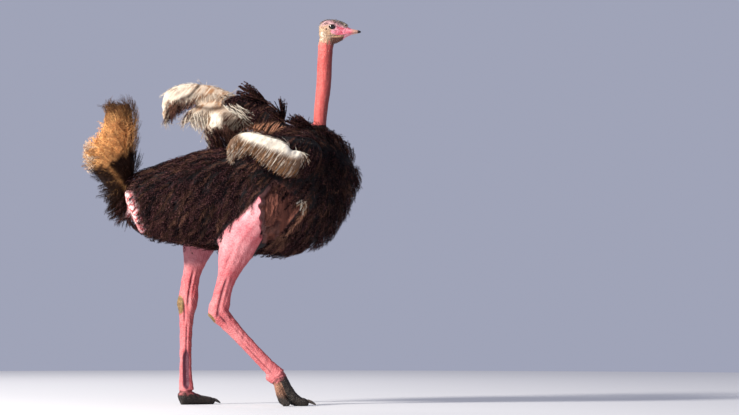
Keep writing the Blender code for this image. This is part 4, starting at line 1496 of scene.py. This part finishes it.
def mark_skin():
    """Masks for the skin's finish."""
    points = points_of(SKIN.data)
    near = {node: distance_to(node, points) for node in BARE_NODES + HEAD_NODES}
    neck = np.min([near[node] for node in ("neck_lower",) + HEAD_NODES], axis=0)
    bare = np.min([near[node] for node in BARE_NODES + HEAD_NODES], axis=0)
    recess = flank_depth(points)
    middle = FLANK_MIDDLE - THIGH_STEP * (points[:, 1] > 0)
    behind = (points[:, 0] > middle) & (points[:, 2] > FLANK[5][1] + 0.02)
    behind &= points[:, 2] < BOXES["thigh_right"][1][2]
    strip = vent(points + ripples(points, 0.04, 19)[:, None] * (0.006, 0, 0), 0.036)
    low = points[:, 2] < BOXES["shank_right"][0][2] + 0.15
    # On one side of a slanting line below each thigh the skin is painted dark through the dark mask, as
    # painted shadow of the coat.
    ahead = np.zeros(len(points))
    for sign, step in ((-1, 0), (1, THIGH_STEP)):
        a, b = (from_side("thigh_right", x, z) - (step, 0) for x, z in ((0.475, -0.08), (0.28, -0.43)))
        past = (points[:, 0] - b[0]) * (a - b)[1] - (points[:, 2] - b[1]) * (a - b)[0]
        beside = (points[:, 1] * sign > 0.06) & (points[:, 2] < a[1] + 0.02) & (points[:, 2] > b[1])
        ahead = np.maximum(ahead, ramp(past / np.linalg.norm(a - b), 0.0, 0.006) * beside)
    hidden = np.maximum(under_plumes(points, False), np.maximum(behind, ahead))
    covered = np.maximum(ramp(bare, 0.012, 0.022), hidden) * (1 - low)
    # The flank mask carries painted shade for the hollow of the flank; the rim is a paler band of that
    # painted shade by the thigh.
    rim = ramp(recess, 0.002, 0.010) * (1 - ramp(recess, 0.018, 0.034)) * (points[:, 0] < middle)
    # Painted shadow of the body: the planted leg is painted mauve above these heights.
    cast = (points[:, 1] > 0) * ramp(points[:, 2] + ripples(points, 0.05, 18) * 0.006, *CAST_HEIGHTS)
    mark(SKIN, dark=covered * (1 - ramp(strip, 0.2, 0.6)), flank=ramp(recess, 0.0, 0.012), rim=rim, cast=cast,
         vent=strip * covered,
         neck=(1 - ramp(neck, 0.004, 0.02)) * (points[:, 2] > BOXES["neck_lower"][0][2]))
    mark_head(points, normals_of(SKIN.data))
    mark_legs(points, normals_of(SKIN.data))


# %% Outlines on the head
def patch(points, outline, soft):
    """1 inside an outline seen from the side, fading past its edge. The outline is given from the eye."""
    corners = [EYE["right"][[0, 2]] + corner for corner in outline]
    edges = zip(corners, corners[1:] + corners[:1])
    reach = np.min([near_line(points, *edge) for edge in edges], axis=0)
    return np.where(inside(corners, points[:, [0, 2]]), 1.0, 1 - ramp(reach, 0, soft))


def streak(points, start, end, width):
    """1 along a line given from the eye."""
    eye = EYE["right"][[0, 2]]
    return np.exp(-((near_line(points, eye + start, eye + end) / width) ** 2))


FACE = ((0.015, 0.009), (0.034, 0.011), (0.078, -0.001), (0.105, -0.012), (0.105, -0.036), (0.075, -0.042),
        (0.035, -0.045), (0.000, -0.036), (-0.008, -0.024), (0.006, -0.014))
CHEEK = ((-0.060, -0.034), (-0.046, -0.032), (-0.040, -0.046), (-0.045, -0.066), (-0.062, -0.070))
THROAT = ((-0.004, -0.066), (0.03, -0.066), (0.09, -0.052), (0.06, -0.085), (0.02, -0.12), (0.004, -0.10))
JAW = ((0.004, -0.056), (0.088, -0.051))


def on_crown(points, normals):
    """1 on the crown and along the top of the forehead."""
    from_eye = points - (EYE["right"][0], 0, EYE["right"][2])
    forehead = ramp(normals[:, 2], 0.15, 0.6) * (from_eye[:, 0] < 0.088) * ramp(from_eye[:, 2], -0.02, 0.0)
    return np.maximum(ramp(from_eye[:, 2], 0.016, 0.030), forehead)


# %% Marks of the head
def mark_head(points, normals):
    """Pink face, pale cheek and lids, dusky crown, ear, gape and throat, with painted shade in the ear pit,
    under the jaw and on the throat.
    """
    from_eye = points - (EYE["right"][0], 0, EYE["right"][2])
    wavy = ripples(points, 0.02, 15) * 0.006
    head = ramp(from_eye[:, 2] + wavy, -0.105, -0.072)
    flat = from_eye[:, [0, 2]]
    brow = 1 - ramp(np.linalg.norm(flat / (1.0, 0.55) - (0.002, 0.036), axis=1), 0.010, 0.018)
    gape = streak(points, (-0.014, -0.050), (0.086, -0.044), 0.0022)
    # A painted shadow line under the jaw, joined to the gape's mask.
    under = streak(points, (0.006, -0.066), (0.070, -0.062), 0.0035)
    tilt = np.array([[math.cos(OPENING_TILT), -math.sin(OPENING_TILT)],
                     [math.sin(OPENING_TILT), math.cos(OPENING_TILT)]])
    ring = np.abs(np.linalg.norm(flat @ tilt / (1.0, 0.80), axis=1) - 0.0235)
    edge = np.abs(np.linalg.norm(flat @ tilt / (1.0, 0.72), axis=1) - 0.0184)
    corner = 1 - ramp(np.linalg.norm(flat - (0.0225, -0.005), axis=1), 0.002, 0.005)
    # The ear is painted near black, as painted shade in its pit. The throat's brown is deepened by painted
    # shade under the head.
    mark(SKIN, head=head, crown=head * on_crown(points, normals),
         face=head * np.maximum(patch(points, FACE, 0.006), 0.6 * brow),
         cheek=head * patch(points, CHEEK, 0.008),
         jaw=head * streak(points, *JAW, 0.0050),
         throat=patch(points, THROAT, 0.012) * (from_eye[:, 2] > -0.2),
         gape=head * np.maximum(gape, 0.8 * under),
         ear=head * (1 - ramp(np.linalg.norm(flat - EAR, axis=1), 0.003, 0.006)),
         lid=head * np.maximum(0.35 * (1 - ramp(ring, 0.001, 0.005)), corner),
         liner=head * (1 - ramp(edge, 0.0008, 0.0022)))


# %% Marks of the legs
# The horny pad behind each ankle: its middle above the tarsus top and ahead of its line, half sizes.
PAD = {"left": (-0.004, -0.036, 0.057, 0.027), "right": (-0.030, -0.054, 0.032, 0.017)}


def mark_legs(points, normals):
    """Dark toes, scutes in front, the pad behind the ankle, painted shade in the furrows and on the front
    edges.
    """
    names = ("toes", "outer", "along", "front", "callus", "furrow", "shin")
    toes, outer, along, front, callus, furrow, shin = masks = [np.zeros(len(points)) for _ in names]
    for side, sign in (("left", 1), ("right", -1)):
        mine = np.flatnonzero((points[:, 1] * sign > 0) & (points[:, 2] < BOXES[f"shank_{side}"][1][2]))
        here, facing = points[mine], normals[mine]
        views = {bone: bone_view(f"{bone}_{side}", here) for bone in ("tarsus", "shank")}
        share, ahead = views["tarsus"]
        bottom, top = ends_of(f"tarsus_{side}", depth=0.03)
        toes[mine] = 1 - ramp(share + 0.012 * ripples(here, 0.03, 17), -0.07, 0.02)
        foot = share < 0.1
        far = distance_to(f"toe_outer_{side}", here[foot])
        outer[mine[foot]] = (1 - ramp(far, 0.003, 0.010)) * ramp(here[foot, 2], 0.035, 0.09)
        along[mine] = share * np.linalg.norm(top - bottom)
        shin[mine] = 1 - ramp(share, 1.05, 1.95)
        front[mine] = ramp(facing[:, 0], 0.35, 0.75) * window(share, -0.02, 0.93, 0.04)
        above, before, tall, wide = PAD[side]
        pad = np.hypot((here[:, 2] - top[2] - above) / tall, (ahead - before) / wide)
        callus[mine] = 1 - ramp(pad, 0.80, 1.05)
        # Painted shade: the furrows are painted darker, less so up the shank.
        deep = ramp(furrows(here, facing, side, views), 0.001, 0.006)
        furrow[mine] = deep * (1 - 0.45 * ramp(share, 0.95, 1.1))
    # The mask of surfaces that face ahead is for painted shade on the front edges of legs and neck.
    mark(SKIN, **dict(zip(names, masks)), fore=ramp(normals[:, 0], -0.25, 0.95))


mark_skin()
print("marks on the skin:", sum(layer.data_type == "FLOAT" for layer in SKIN.data.attributes))


# %% The skin's finish
def skin_finish():
    """Coral and pink skin with pores, scutes down the tarsi and small round scales on the toes."""
    finish = Finish("bird_skin", Roughness=0.52, Specular_IOR_Level=0.35)
    cloud, fine, bumps = finish.mottle(9), finish.mottle(60), finish.cells(125)

    def paint(colour, layer, over, strength=1.0):
        return finish.mix(finish.layer(layer) * strength, colour, over)

    def speckled(mask, low, high, first, second):
        return finish.mix(mask.above(low, high), tint(*first), tint(*second))

    blush = cloud * 0.65 + fine * 0.25 + bumps * 0.20
    flush = speckled(blush, 0.36, 0.72, (0.84, 0.41, 0.43), (0.62, 0.125, 0.155))
    shins = speckled(blush, 0.36, 0.72, (0.74, 0.265, 0.265), (0.50, 0.080, 0.090))
    coral = speckled(cloud * 0.6 + fine * 0.4, 0.35, 0.65, (0.70, 0.150, 0.130), (0.52, 0.080, 0.070))
    # Painted shade: surfaces that face ahead, away from the light, are painted dark red on the legs and on
    # the neck.
    fore = finish.layer("fore") ** 1.5 * 0.9
    flush = finish.mix(fore, finish.mix(finish.layer("shin"), flush, shins), tint(0.34, 0.028, 0.036))
    # Painted shadow of the body on the planted leg, in mauve.
    flush = paint(flush, "cast", tint(0.24, 0.055, 0.085), 0.6)
    # Painted shade: the neck's front edge is dark red.
    colour = paint(flush, "neck", finish.mix(fore, coral, tint(0.16, 0.020, 0.018)))
    # Painted shade: the hollow of the flank is dark brown, with pleats.
    pleats, streaks = finish.mottle(30, 3.0, (1, 1, 0.2)), finish.mottle(90, 3.0, (0.4, 1, 1))
    shaded = speckled(pleats, 0.35, 0.65, (0.045, 0.011, 0.008), (0.170, 0.056, 0.036))
    pale = speckled(fine, 0.42, 0.58, (0.60, 0.07, 0.07), (0.95, 0.78, 0.76))
    buff = speckled(fine, 0.35, 0.65, (0.34, 0.180, 0.095), (0.66, 0.42, 0.26))
    pink = speckled(streaks, 0.38, 0.62, (0.70, 0.105, 0.155), (0.85, 0.34, 0.40))
    white = speckled(fine, 0.45, 0.55, (0.50, 0.36, 0.25), (0.88, 0.76, 0.62))
    grey = speckled(fine, 0.3, 0.7, (0.40, 0.20, 0.21), (0.68, 0.42, 0.43))
    olive = speckled(fine, 0.35, 0.65, (0.30, 0.175, 0.06), (0.13, 0.075, 0.030))
    # In this table flank and rim lay the painted shade of the flank's hollow. Ear, furrow, part of gape and
    # part of throat are painted shade too. Dark is near black under the black plumes, as it is, and painted
    # shadow in a strip below each thigh. The rest are the skin's own colours.
    for layer, over, strength in (
            ("dark", tint(0.006, 0.004, 0.005), 1.0), ("flank", shaded, 1.0),
            ("rim", tint(0.22, 0.105, 0.100), 0.55), ("vent", pale, 1.0),
            ("head", buff, 1.0), ("face", pink, 1.0), ("cheek", white, 0.75),
            ("jaw", tint(0.78, 0.42, 0.22), 0.85), ("throat", tint(0.145, 0.038, 0.024), 0.9),
            ("crown", grey, 1.0), ("lid", tint(0.86, 0.66, 0.62), 0.8),
            ("liner", tint(0.020, 0.012, 0.012), 1.0), ("gape", tint(0.085, 0.025, 0.022), 0.85),
            ("ear", tint(0.05, 0.022, 0.018), 1.0), ("furrow", tint(0.060, 0.008, 0.024), 0.95),
            ("callus", olive, 1.0)):
        colour = paint(colour, layer, over, strength)
    plates = (finish.layer("along") + 0.004 * fine) * (math.pi / 0.017)
    for operation in ("SINE", "ABSOLUTE"):
        plates = finish.node("ShaderNodeMath", {"operation": operation}, {0: plates})
    edge = (1 - plates.above(0.0, 0.35)) * finish.layer("front")
    # Painted shade: the front of each tarsus is painted a darker red. The dark lines between its scutes come
    # next.
    colour = paint(colour, "front", tint(0.30, 0.060, 0.050), 0.45)
    colour = finish.mix(edge * 0.5, colour, tint(0.10, 0.025, 0.020))
    scale = finish.cells(190)
    horny = speckled(scale, 0.1, 0.6, (0.055, 0.032, 0.020), (0.008, 0.006, 0.005))
    tan = speckled(scale, 0.15, 0.65, (0.60, 0.30, 0.18), (0.17, 0.075, 0.042))
    colour = paint(colour, "toes", finish.mix(finish.layer("outer"), horny, tan))
    finish.give(Base_Color=colour, Roughness=finish.layer("dark") * 0.4 + 0.52)
    pores = finish.cells(420)
    relief = pores * 0.25 + fine * 0.5 - bumps * 0.7 - edge * 1.4 - scale * finish.layer("toes") * 1.6
    finish.relief(relief, 0.6, 0.004)
    return finish.material


finished(SKIN, skin_finish(), "pink_skin", "head", "neck_upper", "neck_middle", "neck_lower",
         "trunk", "breast", "wing_arm_left", "wing_arm_right",
         *(f"{bone}_{side}" for bone in LEG_BONES for side in ("left", "right")))
bpy.data.objects.remove(FORM)

# %% [markdown]
# ## Down and lashes
#
# The head carries sparse hair-like down: dark and bristly on the crown and forehead, tan behind
# and whitish on the cheek, with hardly any on the pink face. A few hairs grow on the neck. Stiff
# dark lashes line the upper lids, as in life.


# %% Down on the head and neck
def head_down():
    """Bristles on the crown and forehead, short down behind, hardly any on the face."""

    def hairy(points):
        from_eye = np.min([np.linalg.norm(points - EYE[side], axis=1) for side in EYE], axis=0)
        return (points[:, 2] > EYE["left"][2] - 0.098) & (from_eye > EYE_RADIUS + 0.006)

    spots, normals = darts_on(SKIN, spacing=0.0036, seed=81, chosen=hairy)
    bald = np.maximum(patch(spots, FACE, 0.004), streak(spots, (0.02, -0.056), (0.088, -0.051), 0.008))
    bald = bald * (1 - on_crown(spots, normals))
    forward = ramp(spots[:, 0] - EYE["left"][0], 0.0, 0.03)
    chance = np.where(bald < 0.3, 1 - (0.58 - 0.10 * forward) * on_crown(spots, normals), 0.06)
    spots, normals = only(np.random.default_rng(82).random(len(spots)) < chance, spots, normals)
    from_eye = spots - (EYE["left"][0], 0, EYE["left"][2])
    crown = on_crown(spots, normals)
    brow = crown * ramp(from_eye[:, 0], 0.0, 0.05)
    cheek, throat = patch(spots, CHEEK, 0.008), patch(spots, THROAT, 0.010)
    # The down is darker on the crown as it is, and on the throat partly as painted shade.
    tone = np.clip(0.50 - 0.36 * crown + 0.4 * cheek - 0.42 * throat, 0.02, 1)
    lie = np.array([-0.9, 0, 0.25]) + np.outer(brow, (1.3, 0, 0.4)) - np.outer(1 - crown, (0, 0, 0.9))
    obj = plant("head_down", spots, normals, lie=lie, length=0.0075 + 0.006 * crown + 0.010 * brow,
                kinds=DOWN_TUFTS, seed=83, lift=24 + 28 * crown, sink=0.001, bend=0.03, jitter=22,
                tone=tone, roll=25)
    return finished(obj, HAIR, "brown_plumage")


def neck_down():
    """A sparse scatter of pale hairs."""

    def on_neck(points):
        near = (points[:, 2] > BOXES["neck_lower"][0][2] + 0.06) & (points[:, 2] < EYE["left"][2] - 0.09)
        return near & (points[:, 0] > BOXES["neck_lower"][0][0] - 0.05)

    spots, normals = darts_on(SKIN, spacing=0.012, seed=84, chosen=on_neck)
    obj = plant("neck_down", spots, normals, lie=(-0.3, 0, -1.0), length=0.007, kinds=DOWN_TUFTS, seed=85,
                lift=22, sink=0.001, bend=0.04, tone=0.3)
    return finished(obj, HAIR, "brown_plumage")


# %% Lashes
def lashes(side, sign):
    """A fringe along the upper lid."""
    forward, upward = almond(1.08)
    upper = upward > 0.003
    forward, upward = forward[upper], upward[upper]
    bulge = np.sqrt((EYE_RADIUS + LID) ** 2 - forward**2 - upward**2)
    spots = EYE[side] + np.stack([forward, bulge * sign, upward], 1)
    normals = np.broadcast_to(np.array([0.0, sign, 0.0]), spots.shape)
    lie = np.stack([forward * 0.9, forward * 0, upward + 0.006], 1)
    obj = plant(f"lashes_{side}", spots, normals, lie=lie, length=0.0095, kinds=LASH, seed=86, lift=42,
                sink=0.0005, bend=0.015, jitter=5, tone=0.0)
    return finished(obj, HAIR, "brown_plumage")


LASH = [plume(0, barbs=0, aspect=0, sweep=0, curl=0, quill=0.05)]
HAIR = plumage("down", tint(0.045, 0.020, 0.017), tint(0.90, 0.76, 0.60), tint(0.3, 0.2, 0.1),
               tip_gain=0.10, roughness=0.6, shine=0.25, contrast=1.0)
head_down()
neck_down()
lashes("left", 1)
lashes("right", -1)

# %% [markdown]
# ## Eyes, bill and claws
#
# The eye is the largest of any land animal, near black in daylight, with a wet film. The bill is
# flat and blunt with a nail at its tip and long nostrils, coral at the root and dusky at the end.
# Each foot's big toe ends in a strong dark claw.


# %% Eyes
def eye_finish(side):
    """A dark brown iris round a black pupil, under a wet coat."""
    finish = Finish(f"eye_{side}_finish", Roughness=0.30, Specular_IOR_Level=0.2, Coat_Weight=0.8,
                    Coat_Roughness=0.10)
    where = finish.node("ShaderNodeTexCoord", output="Object")
    centre = tuple(EYE[side])
    from_centre = finish.node("ShaderNodeVectorMath", {"operation": "SUBTRACT"}, {0: where, 1: centre})
    flat = finish.node("ShaderNodeVectorMath", {"operation": "MULTIPLY"}, {0: from_centre, 1: (1, 0, 1)})
    reach = finish.node("ShaderNodeVectorMath", {"operation": "LENGTH"}, {0: flat}, "Value")
    fibres = finish.mottle(300).above(0.35, 0.65)
    iris = finish.mix(fibres, tint(0.012, 0.005, 0.003), tint(0.034, 0.014, 0.006))
    colour = finish.mix(reach.above(0.0088, 0.0094), tint(0.002, 0.002, 0.002), iris)
    colour = finish.mix(reach.above(0.0145, 0.0160), colour, tint(0.012, 0.008, 0.007))
    return finish.give(Base_Color=colour)


for side in EYE:
    globe = object_from(f"eyeball_{side}", *ball(EYE[side], EYE_RADIUS, 96, 61))
    finished(globe, eye_finish(side), "eye", f"eye_{side}")


# %% Bill
def horn(name, rows):
    """Horn that changes colour along X. A row is where a colour starts, where it is full, and the colour."""
    finish = Finish(name, Roughness=0.42, Coat_Weight=0.15, Coat_Roughness=0.3)
    where = finish.node("ShaderNodeTexCoord", output="Object")
    along = finish.node("ShaderNodeSeparateXYZ", {}, {0: where}, "X")
    grain = finish.mottle(70, 4.0, (0.3, 1, 1))
    colour = finish.mix(grain.above(0.35, 0.65), *rows[0])
    for start, full, over in rows[1:]:
        colour = finish.mix((along + 0.006 * grain).above(start, full), colour, over)
    finish.give(Base_Color=colour)
    finish.relief(grain, 0.35, 0.002)
    return finish.material


BILL_BACK, BILL_TIP = BOXES["bill_upper"][0][0], BOXES["bill_upper"][1][0]
print("bill length:", round(float(BILL_TIP - BILL_BACK), 3))


def along_bill(share):
    """X at a share of the bill's length."""
    return float(BILL_BACK + share * (BILL_TIP - BILL_BACK))


BILL = horn("bill_horn", [(tint(0.70, 0.12, 0.17), tint(0.85, 0.37, 0.42)),
                          (along_bill(0.34), along_bill(0.62), tint(0.60, 0.33, 0.24)),
                          (along_bill(0.79), along_bill(0.87), tint(0.020, 0.012, 0.012))])


def bill_half(node):
    """A half of the bill with its nostrils, the groove beside the ridge and the nail at its tip."""
    obj = fused(node.replace("bill", "beak"), [grown(solid(node), 0.0003)], cell=0.0011, rounds=5)
    points, normals = points_of(obj.data), normals_of(obj.data)
    low, high = BOXES[node]
    share = (points - low) / (high - low)
    shift = ripples(points * (0.3, 1, 1), 0.006, 71) * 0.0001
    if node == "bill_upper":
        slot = np.hypot((share[:, 0] - 0.34) / 0.12, (share[:, 2] - 0.60) / 0.10)
        shift -= 0.0024 * np.exp(-(slot**2)) * ramp(np.abs(normals[:, 1]), 0.2, 0.6)
    nail = np.exp(-(((share[:, 0] - 0.80) / 0.018) ** 2))
    shift -= 0.0007 * nail
    move(obj, shift)
    return finished(obj, BILL, "bill_horn", node)


bill_half("bill_upper")
bill_half("bill_lower")


# %% Claws
CLAW = horn("claw_horn", [(tint(0.025, 0.018, 0.015), tint(0.075, 0.052, 0.038))])
for side in ("left", "right"):
    claw = fused(f"toenail_{side}", [grown(solid(f"claw_{side}"), 0.0003)], cell=0.0012, rounds=5)
    finished(claw, CLAW, "claw_horn", f"claw_{side}")

# %% [markdown]
# ## A plain studio
#
# The bird stands on a pale floor under a pale sky of soft light. The main light comes from behind
# its tail, high and a little to this side, as low sun would, and a weaker one fills the front.
# The camera stands far off and low, looking almost level, which keeps legs and neck in true scale.

# %% Camera
CAMERA_AWAY = 28.0
FRAME_WIDTH = 4.212
FRAME_MIDDLE = np.array([0.8354, 0.0, 1.126])
CAMERA_HEIGHT = 0.815


def look_from(spot, target, sensor, width):
    """A camera whose picture is a given width at the target."""
    data = bpy.data.cameras.new("camera")
    data.sensor_width = sensor
    data.lens = sensor * float(np.linalg.norm(target - spot)) / width
    data.clip_end = 200
    camera = linked("camera", data)
    camera.location = spot
    camera.rotation_euler = Vector(target - spot).to_track_quat("-Z", "Y").to_euler()
    bpy.context.scene.camera = camera
    return camera


CAMERA = look_from(np.array([FRAME_MIDDLE[0], -CAMERA_AWAY, CAMERA_HEIGHT]), FRAME_MIDDLE,
                   sensor=36.0, width=FRAME_WIDTH)
print("lens:", round(CAMERA.data.lens, 1))


# %% Floor, sky and lights
def soft_light(name, spot, target, size, watts, colour):
    """A square lamp that looks at a target."""
    data = bpy.data.lights.new(name, "AREA")
    data.size = size
    data.energy = watts
    data.color = colour
    lamp = linked(name, data)
    lamp.location = spot
    lamp.rotation_euler = (Vector(target) - Vector(spot)).to_track_quat("-Z", "Y").to_euler()


soft_light("key", (-8.2, -5.6, 6.8), target=(0.1, 0, 1.1), size=1.7, watts=2600, colour=(1.0, 0.955, 0.88))
soft_light("fill", (5.0, -6.5, 2.6), target=(0.2, 0, 1.1), size=4.0, watts=45, colour=(0.88, 0.92, 1.0))
soft_light("rim", (-2.5, 6.5, 5.0), target=(0.1, 0, 1.3), size=3.0, watts=190, colour=(1.0, 0.96, 0.90))

FLOOR_RADIUS = 9.0
turn = np.linspace(0, 2 * math.pi, 96, endpoint=False)
rim = np.stack([np.cos(turn), np.sin(turn), np.zeros(96)], 1) * FLOOR_RADIUS
fan = np.stack([np.full(96, 96), np.arange(96), (np.arange(96) + 1) % 96], 1)
FLOOR = object_from("floor", np.concatenate([rim, [[0, 0, 0]]]), fan, smooth=False)
PALE = Finish("pale_floor", Roughness=0.9)
PALE.give(Base_Color=tint(0.60, 0.60, 0.62))
FLOOR.data.materials.append(PALE.material)

world = bpy.data.worlds.new("sky")
world.use_nodes = True
world.node_tree.nodes["Background"].inputs["Color"].default_value = tint(0.70, 0.74, 0.96)
world.node_tree.nodes["Background"].inputs["Strength"].default_value = 0.50
bpy.context.scene.world = world
bpy.context.scene.view_settings.view_transform = "Standard"
